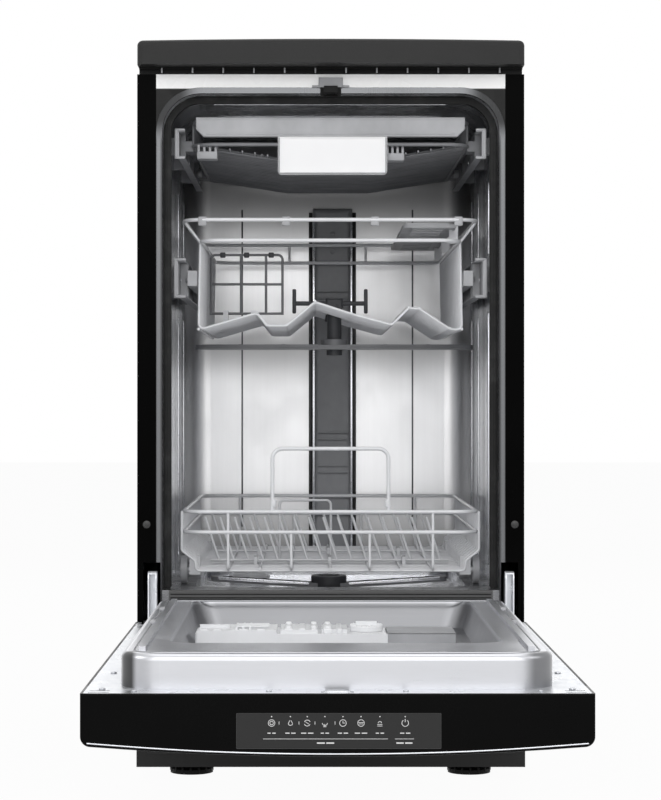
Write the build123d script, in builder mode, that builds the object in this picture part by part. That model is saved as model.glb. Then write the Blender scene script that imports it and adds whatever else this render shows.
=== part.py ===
from build123d import *
from math import atan2, cos, radians, sin, sqrt
import os

os.makedirs("parts", exist_ok=True)

# Slimline dishwasher with its door open. Millimetres, +X is right, +Y is back and +Z is up.
# The origin is on the floor, in the middle of the footprint of the cabinet and the open door.

# Fits
slide_gap = 0.3           # between a piece and the one it slides or turns on
pin_gap = 0.05            # round a hinge pin
seal_gap = 0.1            # between pressed sheets that meet along a curve
through = 1.0             # how far a cut runs past the face that it opens

# Cabinet
cabinet_width = 448.0
cabinet_depth = 545.0
cabinet_height = 850.0
casing_sheet = 1.0
rear_return = 12.0
panel_bottom = 20.0
rear_panel_bottom = 100.0
screw_height = 293.0
screw_radius = 2.5
screw_head = 1.5
rear_rib_depth = 2.0

# Worktop and the ribbed frame under it
worktop_width = 445.0
worktop_thickness = 28.0
worktop_overhang = 26.0
worktop_bow = 13.5
worktop_corner = 8.0
worktop_round = 6.0
frame_height = 8.0
frame_rail = 30.0
frame_setback = 1.5       # behind the back of the closed door
frame_plate = 3.0
frame_rib_count = 12
frame_rib_pitch = 35.5
frame_rib = 2.0

# Base, plinth and levelling feet
base_bottom = 22.0
base_floor = 3.0
base_wall_height = 38.0
base_rear_setback = 30.0
plinth_bottom = 14.0
plinth_top = 119.0
plinth_depth = 12.0
plinth_sheet = 2.0
foot_spread = 163.0
foot_front = 45.0
foot_rear = 498.0
foot_radius = 25.0
foot_disc = 10.0
foot_stem = 5.0
foot_nut = 8.5
foot_nut_height = 6.0
foot_reach = 40.0
boss_radius = 12.0
boss_height = 24.0

# Tub
tub_width = 390.4
tub_top = 792.0
tub_corner = 45.0
tub_sheet = 1.0
tub_flange = 6.8
wrapper_depth = 500.0
tub_depth = 535.0
tub_rear_round = 34.0
tub_rib_spread = 117.6
tub_rib_width = 3.0
tub_rib_proud = 0.8
floor_top = 217.0
floor_flange = 17.0
pan_width = 322.0
pan_front = 45.0
pan_rear = 500.0
pan_corner = 30.0
pan_step = 19.0
drain_top = 186.0
drain_radius = 79.0
crossbar_return = 28.0

# Seals and catch on the cabinet
gasket_width = 8.0
gasket_front = 25.3
gasket_depth = 10.7
sill_seal_depth = 5.0
sill_seal_height = 11.0
sill_hole = 9.0
striker_width = 28.0
striker_height = 11.0
striker_depth = 4.5
striker_ear = 43.0
striker_ear_height = 2.5
hook_width = 16.0
hook_height = 9.0
hook_reach = 19.0
hook_bar = 3.0
hook_root = 24.0
hook_root_drop = 1.5

# Door, measured along it from the hinge axis and square to it
hinge_forward = 30.0
hinge_height = 158.0
door_above_hinge = 659.0
door_below_hinge = 26.0
door_back = 24.0
door_front = 22.0
door_bow = 9.0
door_corner = 9.0
door_sheet = 1.0
door_hem = 1.5
fascia_length = 57.0
fascia_wall = 2.5
door_frame_sheet = 1.0
liner_gap = 2.2
liner_top_gap = 6.0
liner_sill_gap = 3.0
liner_height = 31.0
liner_corner = 36.0
liner_foot_corner = 10.0
liner_round = 6.0
liner_sheet = 1.2
liner_seat = 12.0
recess_depth = 28.0
recess_half = 155.0
recess_foot = 65.0
recess_head = 532.0
recess_corner = 25.0
recess_draft = 22.0
ridge_height = 4.0
ridge_width = 6.0
ridge_start = 90.0
ridge_end = 600.0
window_left = -88.0
window_right = 90.0
window_low = 134.0
window_high = 165.0
window_depth = 1.4
window_gap = 0.05
latch_slot_half = 10.6
latch_slot_length = 14.0
frame_slot_length = 22.0
frame_slot_width = 4.0
pad_thickness = 12.0
fascia_round = 1.5
pawl_setback = 9.0        # from the door's end to the pawl's pin
pawl_level = 10.0
pawl_half = 7.0
pawl_front = 4.0
pawl_rear = 5.0
pawl_drop = 3.0
pawl_rise = 11.0
pawl_pin = 2.0
lug_width = 3.0
lug_drop = 6.0
board_sheet = 1.6
board_gap = 9.0
board_peg = 3.0

# Hinges
lever_width = 10.0
lever_offset = 2.8
lever_half = 10.0
lever_reach = 83.0
lever_arm = 150.0
lever_wall = 1.5
bracket_gap = 2.0
bracket_sheet = 3.0
bracket_half = 18.0
bracket_nose = 12.0
bracket_tail = 92.0
hinge_pin_radius = 4.0
lever_slot_margin = 8.0
spring_radius = 6.0
spring_length = 190.0
spring_height = 110.0

# Dispenser in the door
dispenser_centre = 270.0
dispenser_left = -141.0
dispenser_right = 124.0
dispenser_length = 70.0
dispenser_deck = 14.0
dispenser_wall = 2.0
cup_left = -105.0
cup_right = -60.0
cup_depth = 11.0
lid_overlap = 2.0
lid_thickness = 3.5
lid_travel = 32.0
lid_rail = 3.0
divider_left = -54.0
divider_right = -16.0
divider_height = 4.0
rinse_x = 34.0
rinse_radius = 17.0
rinse_height = 5.5
rinse_grip = 5.0

# Rails in the tub
rail_front = 37.0
rail_rear = 500.0
rail_sheet = 1.2
rail_spacer = 16.0
upper_rail_inner = 170.0
upper_rail_outer = 180.0
upper_rail_low = 559.0
upper_rail_high = 601.0
cutlery_rail_inner = 171.0
cutlery_rail_outer = 179.0
cutlery_rail_low = 722.0
cutlery_rail_high = 753.0
slider_length = 40.0

# Water system
duct_left = -20.0
duct_right = 34.0
duct_depth = 25.0
duct_top = 700.0
duct_round = 8.0
port_radius = 15.0
port_depth = 5.0
water_x = 7.0
arm_y = 278.0
sump_wall = 4.0
sump_bottom = 112.0
post_radius = 12.0
post_top = 196.5
post_pin = 8.0
post_pin_top = 206.0
filter_x = 34.0
filter_y = 246.0
filter_radius = 28.0
filter_bottom = 120.0
filter_grip = 6.0
lower_arm_reach = 150.0
lower_arm_low = 199.0
lower_arm_rise = 8.0
arm_thickness = 6.0
arm_root = 36.0
arm_tip = 24.0
lower_hub_radius = 22.0
lower_hub_top = 214.0
upper_hub_rise = 7.0
upper_arm_reach = 177.0
upper_arm_low = 501.0
upper_hub_radius = 17.0
jet_radius = 2.0
jet_count = 4
port_level = 558.0
boss_level = 147.0
boss_reach = 9.0
pump_inlet = 14.0
volute_radius = 34.0
volute_length = 14.0
motor_radius = 30.0
motor_length = 85.0
drain_pump_x = -20.0
drain_pump_radius = 24.0
drain_pump_length = 60.0
softener_inner = 92.0
softener_front = 340.0
softener_rear = 478.0
softener_height = 122.0
softener_round = 12.0
cap_wall = 3.5
valve_x = 140.0
valve_level = 72.0
valve_box = 44.0
thread_radius = 13.2
thread_length = 20.0
thread_wall = 3.0
neck_step = 1.0
outlet_x = 82.0
outlet_radius = 9.5
outlet_length = 24.0
ballast_width = 150.0
ballast_depth = 62.0
ballast_height = 70.0
cap_x = -105.0
cap_y = 440.0
cap_radius = 26.0
cap_height = 12.0
key_grip = 3.0            # half the width of the grip across a cap

# Wire racks
frame_wire = 4.5
cross_wire = 3.2
tine_wire = 3.0
wire_bend = 6.0
wire_pitch = 28.0
wire_bite = 0.8
rack_corner = 26.0
clip_width = 6.0
clip_wall = 2.5

# Cutlery tray
tray_half = 162.0
tray_front = 40.0
tray_rear = 512.0
tray_high = 764.0
tray_low = 737.0
tray_sag = 17.0
tray_wires = 22
tray_bar_half = 157.6
tray_bar_low = 745.0
tray_bar_high = 768.0
tray_bar_depth = 8.0
tray_bar_chamfer = 9.0
handle_left = -61.5
handle_right = 66.3
handle_low = 701.0
handle_border = 4.0
handle_recess = 2.0

# Upper rack: the section of its cross wires, from the left rim to the right rim
upper_section = [
    (-174.0, 649.0),
    (-154.0, 624.0),
    (-156.0, 520.0),
    (-87.0, 540.0),
    (-75.0, 525.0),
    (-52.0, 525.0),
    (-18.0, 553.0),
    (25.0, 539.0),
    (73.0, 526.0),
    (93.0, 546.0),
    (106.0, 545.0),
    (142.0, 521.0),
    (156.0, 520.0),
    (154.0, 624.0),
    (174.0, 649.0),
]
upper_front = 33.0
upper_rear = 497.0
upper_rim_half = 172.0
upper_ring_half = 152.0
runner_low = 572.0
runner_high = 590.0
runner_depth = 11.0
feed_low = 550.0
feed_high = 564.0
feed_half = 10.0
feed_pipe = 9.0
feed_pin = 6.0
feed_collar = 10.0
shelf_hinge_x = 147.0
shelf_inner_x = 86.0
shelf_level = 642.0
shelf_sheet = 4.0
shelf_front = 50.0
shelf_rear = 480.0
shelf_rod = 2.2
holder_left = -149.0
holder_right = -58.7
holder_top = 620.0
holder_level = 546.0
holder_posts = (-149.0, -111.0, -79.5, -58.7)
shelf_clip_places = (90.0, 260.0, 430.0)
shelf_slots = 14

# Lower rack
lower_half = 172.0
lower_front = 34.0
lower_rear = 503.0
lower_rim = 306.0
lower_ring = 282.0
lower_floor = 236.0
lower_side = 260.0
hoop_half = 68.0
hoop_top = 380.0
lower_first_wire = 48.0
lower_wire_count = 17
lower_corner = 12.5
lower_shoulder = 12.0
rail_wires = {-120.0: lower_rim, -46.0: lower_ring, 46.0: lower_ring, 120.0: lower_rim}
floor_wires = (-83.0, 0.0, 83.0)
fixed_hoop_left = -62.0
fixed_hoop_right = 2.0
fixed_hoop_y = 215.0
fixed_hoop_top = 312.0
tine_rows = {"front": 150.0, "rear": 330.0}
tine_top = 294.0
tine_lean = 18.0
tine_pitch = 18.0
tine_count = 16
tine_clip_step = 5        # pitches from the middle clip to the next
tine_bar_half = 145.0
tine_clip_width = 4.0        # narrow, so that the leaning tines fold down between the clips
wheel_radius = 16.5
wheel_inner = 171.5
wheel_width = 7.0
wheel_rim = 4.0
axle_radius = 3.0
wheel_wires = {"front": 2, "rear": 13}

# Places that follow from the sizes above
half_width = cabinet_width / 2
panel_inner = half_width - casing_sheet
front = (hinge_forward + door_above_hinge - cabinet_depth) / 2
back = front + cabinet_depth
worktop_bottom = cabinet_height - worktop_thickness
panel_top = worktop_bottom - frame_height
mouth_half = tub_width / 2
flange_half = mouth_half + tub_flange
tub_back = front + tub_depth
hinge_y = front - hinge_forward
liner_half = mouth_half - liner_gap
liner_foot = floor_top + liner_sill_gap - hinge_height
liner_head = tub_top - liner_top_gap - hinge_height
fascia_start = door_above_hinge - fascia_length
rim_top = hinge_height + door_back + liner_height
recess_floor = rim_top - recess_depth
lever_inner = mouth_half + tub_sheet + lever_offset
lever_outer = lever_inner + lever_width
bracket_inner = lever_outer + bracket_gap
bracket_outer = bracket_inner + bracket_sheet
slot_inner = lever_inner - bracket_gap
slot_outer = bracket_outer + bracket_gap + 1
base_rear = back - base_rear_setback
duct_front = tub_back - duct_depth


def block(x, y, z, mode=Mode.ADD):
    """Add a box that fills three ranges, each given as (low, high)."""
    with Locations(((x[0] + x[1]) / 2, (y[0] + y[1]) / 2, (z[0] + z[1]) / 2)):
        Box(x[1] - x[0], y[1] - y[0], z[1] - z[0], mode=mode)


def rod(x, y, z, radius, axis=Axis.Z, mode=Mode.ADD):
    """Add a round bar: two of x, y and z are its centre, and the one along the axis is a range."""
    turn = {Axis.X: (0, 90, 0), Axis.Y: (90, 0, 0), Axis.Z: (0, 0, 0)}[axis]
    span = {Axis.X: x, Axis.Y: y, Axis.Z: z}[axis]
    middle = (span[0] + span[1]) / 2
    centre = {Axis.X: (middle, y, z), Axis.Y: (x, middle, z), Axis.Z: (x, y, middle)}[axis]
    with Locations(Location(centre, turn)):
        Cylinder(radius, span[1] - span[0], mode=mode)


def span(side, inner, outer):
    """The X range of a piece on the left (side -1) or on the right (side 1)."""
    return (inner, outer) if side > 0 else (-outer, -inner)


def along(distance):
    """The Y of a place on the open door, this far from the hinge axis."""
    return hinge_y - distance


def above(distance):
    """The Z of a place on the open door, this far above the hinge axis."""
    return hinge_height + distance


def bent_wire(points, diameter, bend=wire_bend):
    """A round wire of straight runs and rounded corners."""
    with BuildPart() as wire:
        with BuildLine() as path:
            FilletPolyline(*points, radius=bend)
        with BuildSketch(Plane(origin=path.line @ 0, z_dir=path.line % 0)):
            Circle(diameter / 2)
        sweep(path=path.line)
    return wire.part


def straight_wire(start, end, diameter):
    """A straight round wire."""
    with BuildPart() as wire:
        with BuildSketch(Plane(origin=start, z_dir=Vector(*end) - Vector(*start))):
            Circle(diameter / 2)
        extrude(amount=(Vector(*end) - Vector(*start)).length)
    return wire.part


def copies(wire, places):
    """Copies of a wire, each moved by one of the places."""
    return [wire.moved(Location(place)) for place in places]


def spaced(low, high, count):
    """Evenly spaced values, both ends included."""
    return [low + (high - low) * step / (count - 1) for step in range(count)]


def tub_section(grow, bottom):
    """The tub's section: upright walls and rounded top corners."""
    wide = mouth_half + grow
    high = tub_top + grow
    turn = tub_corner + grow
    with BuildSketch() as section:
        with BuildLine():
            Polyline((-wide, high - turn), (-wide, bottom), (wide, bottom), (wide, high - turn))
            CenterArc((wide - turn, high - turn), turn, 0, 90)
            Line((wide - turn, high), (turn - wide, high))
            CenterArc((turn - wide, high - turn), turn, 90, 90)
        make_face()
    return section.sketch


def door_section(grow, top):
    """The open door's section: bowed front skin, rounded corners and upright sides."""
    wide = half_width + grow
    low = above(-door_front) - grow
    with BuildSketch() as section:
        with BuildLine():
            Polyline((-wide, low), (-wide, top), (wide, top), (wide, low))
            ThreePointArc((wide, low), (0, low - door_bow), (-wide, low))
        make_face()
        fillet(section.vertices().group_by(Axis.Y)[0], door_corner + grow)
    return section.sketch


def door_side(grow, top):
    """The open outer panel from the side, rounded about the hinge at its lower end."""
    turn = door_below_hinge + grow
    reach = sqrt(turn ** 2 - (top - hinge_height) ** 2)
    middle = atan2(top - hinge_height, reach) / 2
    low = above(-door_front - door_bow - door_corner)
    with BuildSketch() as section:
        with BuildLine():
            Polyline(
                (hinge_y + turn, hinge_height),
                (hinge_y + turn, low),
                (along(fascia_start), low),
                (along(fascia_start), top),
                (hinge_y + reach, top),
            )
            ThreePointArc(
                (hinge_y + reach, top),
                (hinge_y + turn * cos(middle), hinge_height + turn * sin(middle)),
                (hinge_y + turn, hinge_height),
            )
        make_face()
    return section.sketch


def floor_pan(grow):
    """The pan in the tub floor, or its hollow: a step down, then a slope to the drain."""
    middle = front + (pan_front + pan_rear) / 2
    length = pan_rear - pan_front + 2 * grow
    step_z = floor_top - pan_step - grow
    drain_side = 2 * (drain_radius + grow)
    with BuildPart() as pan:
        with BuildSketch(Plane.XY.offset(floor_top)):
            with Locations((0, middle)):
                RectangleRounded(pan_width + 2 * grow, length, pan_corner + grow)
        extrude(amount=-pan_step - grow)
        with BuildSketch(Plane.XY.offset(step_z)):
            with Locations((0, middle)):
                RectangleRounded(pan_width + 2 * grow, length, pan_corner + grow)
        with BuildSketch(Plane.XY.offset(drain_top - grow)):
            with Locations((0, front + arm_y)):
                RectangleRounded(drain_side, drain_side, drain_side / 2 - 1)
        loft()
    return pan.part


# Worktop and the frame that it sits on
with BuildPart() as worktop:
    with BuildSketch(Plane.XY.offset(worktop_bottom)):
        with BuildLine():
            side_x = worktop_width / 2
            edge_y = front - worktop_overhang
            Polyline((-side_x, edge_y), (-side_x, back), (side_x, back), (side_x, edge_y))
            ThreePointArc((side_x, edge_y), (0, edge_y - worktop_bow), (-side_x, edge_y))
        make_face()
        fillet(vertices().group_by(Axis.Y)[0], worktop_corner)
    extrude(amount=worktop_thickness)
    fillet(worktop.faces().sort_by(Axis.Z)[-1].edges(), worktop_round)
worktop.part.label = "worktop"
export_step(worktop.part, "parts/worktop.step")

with BuildPart() as worktop_frame:
    frame_half = worktop_width / 2 - 1
    frame_front = hinge_y + door_back + frame_setback
    frame_level = (panel_top, worktop_bottom)
    block((-frame_half, frame_half), (front, back - casing_sheet), frame_level)
    inner_half = frame_half - frame_rail
    block((-inner_half, inner_half), (front + frame_plate, back - frame_rail), frame_level, Mode.SUBTRACT)
    plate_level = (worktop_bottom - frame_plate, worktop_bottom)
    block((-frame_half, frame_half), (frame_front, front), plate_level)
    for rib in range(frame_rib_count):
        rib_x = (rib - (frame_rib_count - 1) / 2) * frame_rib_pitch
        block((rib_x - frame_rib / 2, rib_x + frame_rib / 2), (frame_front, front), frame_level)
worktop_frame.part.label = "worktop_frame"
export_step(worktop_frame.part, "parts/worktop_frame.step")

# Side panels, with a slot each for the door's hinge lever
slot_low = hinge_height - bracket_half - lever_slot_margin / 2
slot_high = hinge_height + lever_reach + lever_slot_margin
for side_name, side in (("left", -1), ("right", 1)):
    with BuildPart() as side_panel:
        upright = (panel_bottom, panel_top)
        block(span(side, panel_inner, half_width), (front, back - casing_sheet), upright)
        block(span(side, flange_half, half_width), (front, front + casing_sheet), upright)
        return_y = (back - 2 * casing_sheet, back - casing_sheet)
        block(span(side, panel_inner - rear_return, half_width), return_y, upright)
        slot_y = (front - 1, front + 2 * casing_sheet)
        block(span(side, flange_half - 1, slot_outer), slot_y, (slot_low, slot_high), Mode.SUBTRACT)
        screw_x = side * (flange_half + half_width) / 2
        rod(screw_x, (front - screw_head, front), screw_height, screw_radius, Axis.Y)
    side_panel.part.label = f"{side_name}_side_panel"
    export_step(side_panel.part, f"parts/{side_name}_side_panel.step")

with BuildPart() as rear_panel:
    block((-half_width, half_width), (back - casing_sheet, back), (rear_panel_bottom, panel_top))
    for rib_x in (-frame_half / 2, frame_half / 2):
        rib_z = (rear_panel_bottom + 4 * frame_rail, panel_top - 4 * frame_rail)
        rib_front = back - casing_sheet - rear_rib_depth
        block((rib_x - frame_rail, rib_x + frame_rail), (rib_front, back), rib_z)
        groove_x = (rib_x - frame_rail + casing_sheet, rib_x + frame_rail - casing_sheet)
        block(groove_x, (rib_front + casing_sheet, back), rib_z, Mode.SUBTRACT)
rear_panel.part.label = "rear_panel"
export_step(rear_panel.part, "parts/rear_panel.step")

# Galvanised bar over the mouth of the tub, filled down into its rounded corners
with BuildPart() as top_crossbar:
    with BuildSketch(Plane.XZ.offset(-front)):
        with BuildLine():
            Polyline(
                (-flange_half, tub_top - tub_corner),
                (-flange_half, panel_top),
                (flange_half, panel_top),
                (flange_half, tub_top - tub_corner),
                (-flange_half, tub_top - tub_corner),
            )
        make_face()
    extrude(amount=-casing_sheet)
    with BuildSketch(Plane.XZ.offset(-front + 1)):
        add(tub_section(tub_flange + seal_gap, panel_bottom))
    extrude(amount=-crossbar_return, mode=Mode.SUBTRACT)
    return_z = (panel_top - casing_sheet, panel_top)
    block((-flange_half, flange_half), (front, front + crossbar_return), return_z)
top_crossbar.part.label = "top_crossbar"
export_step(top_crossbar.part, "parts/top_crossbar.step")

# Base tray, with a boss for each levelling foot
foot_places = {
    "front_left": (-foot_spread, front + foot_front),
    "front_right": (foot_spread, front + foot_front),
    "rear_left": (-foot_spread, front + foot_rear),
    "rear_right": (foot_spread, front + foot_rear),
}
base_top = base_bottom + base_floor
with BuildPart() as base_tray:
    base_front = front + casing_sheet
    wall_top = base_bottom + base_wall_height
    block((-panel_inner, panel_inner), (base_front, base_rear), (base_bottom, wall_top))
    hollow_x = (base_floor - panel_inner, panel_inner - base_floor)
    hollow_y = (base_front + base_floor, base_rear - base_floor)
    block(hollow_x, hollow_y, (base_top, wall_top), Mode.SUBTRACT)
    rear_wall_y = (base_rear - base_floor, base_rear)
    block((-panel_inner, panel_inner), rear_wall_y, (base_bottom, rear_panel_bottom))
    for place in foot_places.values():
        rod(*place, (base_bottom, base_bottom + boss_height), boss_radius)
    for place in foot_places.values():
        bore_z = (base_bottom - 1, base_bottom + boss_height - base_floor)
        rod(*place, bore_z, foot_stem + slide_gap, mode=Mode.SUBTRACT)
    rear_wall = (base_rear - base_floor - 1, base_rear + 1)
    rod(valve_x, rear_wall, valve_level, thread_radius + slide_gap, Axis.Y, Mode.SUBTRACT)
    rod(outlet_x, (base_rear - 1, base_rear + outlet_length), valve_level, outlet_radius, Axis.Y)
    outlet_bore = (base_rear - base_floor - 1, base_rear + outlet_length + 1)
    rod(outlet_x, outlet_bore, valve_level, outlet_radius - 2, Axis.Y, Mode.SUBTRACT)
base_tray.part.label = "base_tray"
export_step(base_tray.part, "parts/base_tray.step")

for foot_name, place in foot_places.items():
    with BuildPart() as foot:
        rod(*place, (0, foot_disc), foot_radius)
        chamfer(foot.faces().sort_by(Axis.Z)[-1].edges(), foot_disc / 2)
        with BuildSketch(Plane.XY.offset(foot_disc)):
            with Locations(place):
                RegularPolygon(foot_nut, 6)
        extrude(amount=foot_nut_height)
        rod(*place, (0, foot_reach), foot_stem)
    foot.part.label = f"{foot_name}_foot"
    export_step(foot.part, f"parts/{foot_name}_foot.step")

with BuildPart() as plinth:
    plinth_y = (front - plinth_depth, front)
    plinth_z = (plinth_bottom, plinth_top)
    block((-half_width, half_width), plinth_y, plinth_z)
    hollow_x = (plinth_sheet - half_width, half_width - plinth_sheet)
    hollow_z = (plinth_bottom - 1, plinth_top - plinth_sheet)
    block(hollow_x, (front - plinth_depth + plinth_sheet, front), hollow_z, Mode.SUBTRACT)
plinth.part.label = "plinth"
export_step(plinth.part, "parts/plinth.step")

# Tub: a wrapped sheet, a stamped rear wall and a stamped floor
wall_foot = floor_top - floor_flange
with BuildPart() as tub_wrapper:
    with BuildSketch(Plane.XZ.offset(-front)):
        add(tub_section(tub_flange, wall_foot))
    extrude(amount=-casing_sheet)
    with BuildSketch(Plane.XZ.offset(-front)):
        add(tub_section(tub_sheet, wall_foot))
    extrude(amount=-wrapper_depth)
    with BuildSketch(Plane.XZ.offset(-front + 1)):
        add(tub_section(0, wall_foot - 1))
    extrude(amount=-wrapper_depth - 2, mode=Mode.SUBTRACT)
    for side in (-1, 1):
        slot_x = span(side, slot_inner, flange_half + 1)
        block(slot_x, (front - 1, front + 2 * casing_sheet), (slot_low, slot_high), Mode.SUBTRACT)
tub_wrapper.part.label = "tub_wrapper"
export_step(tub_wrapper.part, "parts/tub_wrapper.step")

with BuildPart() as rear_hollow:
    with BuildSketch(Plane.XZ.offset(-front - wrapper_depth)):
        add(tub_section(0, floor_top))
    extrude(amount=wrapper_depth - tub_depth)
    rear_edges = rear_hollow.faces().sort_by(Axis.Y)[-1].edges().sort_by(Axis.Z)[1:]
    fillet(rear_edges, tub_rear_round)
with BuildPart() as tub_rear_wall:
    with BuildSketch(Plane.XZ.offset(-front - wrapper_depth)):
        add(tub_section(tub_sheet, floor_top))
    extrude(amount=wrapper_depth - tub_depth - tub_sheet)
    rear_edges = tub_rear_wall.faces().sort_by(Axis.Y)[-1].edges().sort_by(Axis.Z)[1:]
    fillet(rear_edges, tub_rear_round + tub_sheet)
    add(rear_hollow.part, mode=Mode.SUBTRACT)
    for rib_x in (-tub_rib_spread, tub_rib_spread):
        rib_x_range = (rib_x - tub_rib_width / 2, rib_x + tub_rib_width / 2)
        rib_z_range = (floor_top + tub_corner, tub_top - tub_corner)
        block(rib_x_range, (tub_back - tub_rib_proud, tub_back), rib_z_range)
tub_rear_wall.part.label = "tub_rear_wall"
export_step(tub_rear_wall.part, "parts/tub_rear_wall.step")

with BuildPart() as tub_floor:
    block((-mouth_half, mouth_half), (front, tub_back), (floor_top - tub_sheet, floor_top))
    add(floor_pan(tub_sheet))
    add(floor_pan(0), mode=Mode.SUBTRACT)
    drain_z = (drain_top - 2, drain_top + 1)
    rod(0, front + arm_y, drain_z, drain_radius - 1, mode=Mode.SUBTRACT)
    rod(cap_x, front + cap_y, (drain_top, floor_top - pan_step + 1), cap_radius, mode=Mode.SUBTRACT)
    lip_z = (floor_top - floor_flange, floor_top)
    block((-mouth_half, mouth_half), (front, front + tub_sheet), lip_z)
tub_floor.part.label = "tub_floor"
export_step(tub_floor.part, "parts/tub_floor.step")

# Cross member under the sill, between the base tray and the tub floor
with BuildPart() as sill_bar:
    sill_z = (base_bottom + base_wall_height / 2, floor_top - floor_flange)
    block((-mouth_half, mouth_half), (front, front + casing_sheet), sill_z)
    for side in (-1, 1):
        hole_x = side * mouth_half / 2
        hole_y = (front - through, front + 2 * casing_sheet)
        rod(hole_x, hole_y, hinge_height, sill_hole, Axis.Y, Mode.SUBTRACT)
sill_bar.part.label = "sill_bar"
export_step(sill_bar.part, "parts/sill_bar.step")

with BuildPart() as door_gasket:
    with BuildSketch(Plane.XZ.offset(-front - gasket_front)):
        add(tub_section(-slide_gap / 3, floor_top))
    extrude(amount=-gasket_depth)
    with BuildSketch(Plane.XZ.offset(-front - gasket_front + 1)):
        add(tub_section(-gasket_width, floor_top - 1))
    extrude(amount=-gasket_depth - 2, mode=Mode.SUBTRACT)
door_gasket.part.label = "door_gasket"
export_step(door_gasket.part, "parts/door_gasket.step")

with BuildPart() as sill_seal:
    seal_z = (floor_top - sill_seal_height, floor_top)
    block((gasket_width - mouth_half, mouth_half - gasket_width), (front - sill_seal_depth, front), seal_z)
    fillet(sill_seal.edges().filter_by(Axis.X).group_by(Axis.Y)[0], sill_seal_depth / 3)
sill_seal.part.label = "sill_seal"
export_step(sill_seal.part, "parts/sill_seal.step")

# Catch over the mouth: a housing on the crossbar and the hook that enters the door
with BuildPart() as latch_striker:
    housing_z = (tub_top + tub_flange - slide_gap, tub_top + tub_flange + striker_height)
    ear_z = (housing_z[0], housing_z[0] + striker_ear_height)
    block((-striker_width / 2, striker_width / 2), (front - striker_depth, front), housing_z)
    fillet(latch_striker.edges().filter_by(Axis.Z).group_by(Axis.Y)[0], striker_depth / 3)
    block((-striker_ear / 2, striker_ear / 2), (front - striker_depth / 2, front), ear_z)
latch_striker.part.label = "latch_striker"
export_step(latch_striker.part, "parts/latch_striker.step")

with BuildPart() as striker_hook:
    hook_z = (housing_z[0] - hook_height, housing_z[0])
    hook_y = (front - hook_reach, front)
    block((-hook_width / 2, hook_width / 2), hook_y, hook_z)
    eye_half = hook_width / 2 - hook_bar
    eye_y = (front - hook_reach + hook_bar, front - striker_depth - hook_bar)
    block((-eye_half, eye_half), eye_y, hook_z, Mode.SUBTRACT)
    fillet(striker_hook.edges().filter_by(Axis.X).group_by(Axis.Y)[0], hook_bar / 2)
    root_z = (hook_z[0] - hook_root_drop, hook_z[1])
    block((-hook_root / 2, hook_root / 2), (front - striker_depth, front), root_z)
striker_hook.part.label = "striker_hook"
export_step(striker_hook.part, "parts/striker_hook.step")

# Rails for the cutlery tray and the upper rack, open towards the middle
rail_y = (front + rail_front, front + rail_rear)


def rail(side, inner, outer, low, high):
    """One C-shaped rail with its spacers to the tub wall."""
    with BuildPart() as channel:
        block(span(side, inner, outer), rail_y, (low, high))
        hollow_x = span(side, inner - through, outer - rail_sheet)
        hollow_y = (rail_y[0] - through, rail_y[1] + through)
        block(hollow_x, hollow_y, (low + rail_sheet, high - rail_sheet), Mode.SUBTRACT)
        for spacer_y in spaced(rail_y[0] + 2 * rail_spacer, rail_y[1] - 4 * rail_spacer, 3):
            spacer = (spacer_y - rail_spacer / 2, spacer_y + rail_spacer / 2)
            block(span(side, outer - rail_sheet, mouth_half), spacer, (low + 6, high - 6))
    return channel.part


with BuildPart() as cutlery_rails:
    cutlery_rail = (cutlery_rail_inner, cutlery_rail_outer, cutlery_rail_low, cutlery_rail_high)
    add([rail(side, *cutlery_rail) for side in (-1, 1)])
cutlery_rails.part.label = "cutlery_rails"
export_step(cutlery_rails.part, "parts/cutlery_rails.step")

with BuildPart() as upper_rails:
    upper_rail = (upper_rail_inner, upper_rail_outer, upper_rail_low, upper_rail_high)
    add([rail(side, *upper_rail) for side in (-1, 1)])
upper_rails.part.label = "upper_rails"
export_step(upper_rails.part, "parts/upper_rails.step")

# Water duct up the rear wall, with the port that the upper rack's feed tube meets
with BuildPart() as rear_duct:
    block((duct_left, duct_right), (duct_front, tub_back), (floor_top, duct_top))
    front_edges = rear_duct.faces().sort_by(Axis.Y)[0].edges().sort_by(Axis.Z)[1:]
    fillet(front_edges, duct_round)
    rod(water_x, (duct_front - port_depth, duct_front), port_level, port_radius, Axis.Y)
    port_y = (duct_front - port_depth - 1, duct_front + port_depth)
    rod(water_x, port_y, port_level, port_radius - 3, Axis.Y, Mode.SUBTRACT)
rear_duct.part.label = "rear_duct"
export_step(rear_duct.part, "parts/rear_duct.step")

# Sump under the drain, with the post that the lower spray arm turns on
arm_place = (0, front + arm_y)
filter_place = (filter_x, front + filter_y)
with BuildPart() as sump:
    sump_top = drain_top - tub_sheet
    rod(*arm_place, (sump_bottom, sump_top), drain_radius + sump_wall)
    sump_rim = drain_radius
    rod(*arm_place, (sump_bottom + sump_wall, sump_top - sump_wall), sump_rim, mode=Mode.SUBTRACT)
    rod(*arm_place, (sump_bottom + 1, post_top), post_radius)
    rod(*arm_place, (sump_bottom + 1, post_pin_top), post_pin)
    filter_hole = (sump_top - sump_wall - 1, sump_top + 1)
    rod(*filter_place, filter_hole, filter_radius + slide_gap, mode=Mode.SUBTRACT)
    boss_x = (drain_radius, drain_radius + boss_reach)
    rod(boss_x, arm_place[1], boss_level, pump_inlet, Axis.X)
    rod(span(-1, *boss_x), arm_place[1], boss_level, pump_inlet, Axis.X)
    boss_y = (arm_place[1] - drain_radius - boss_reach, arm_place[1] - drain_radius)
    rod(drain_pump_x, boss_y, boss_level, pump_inlet, Axis.Y)
sump.part.label = "sump"
export_step(sump.part, "parts/sump.step")

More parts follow.
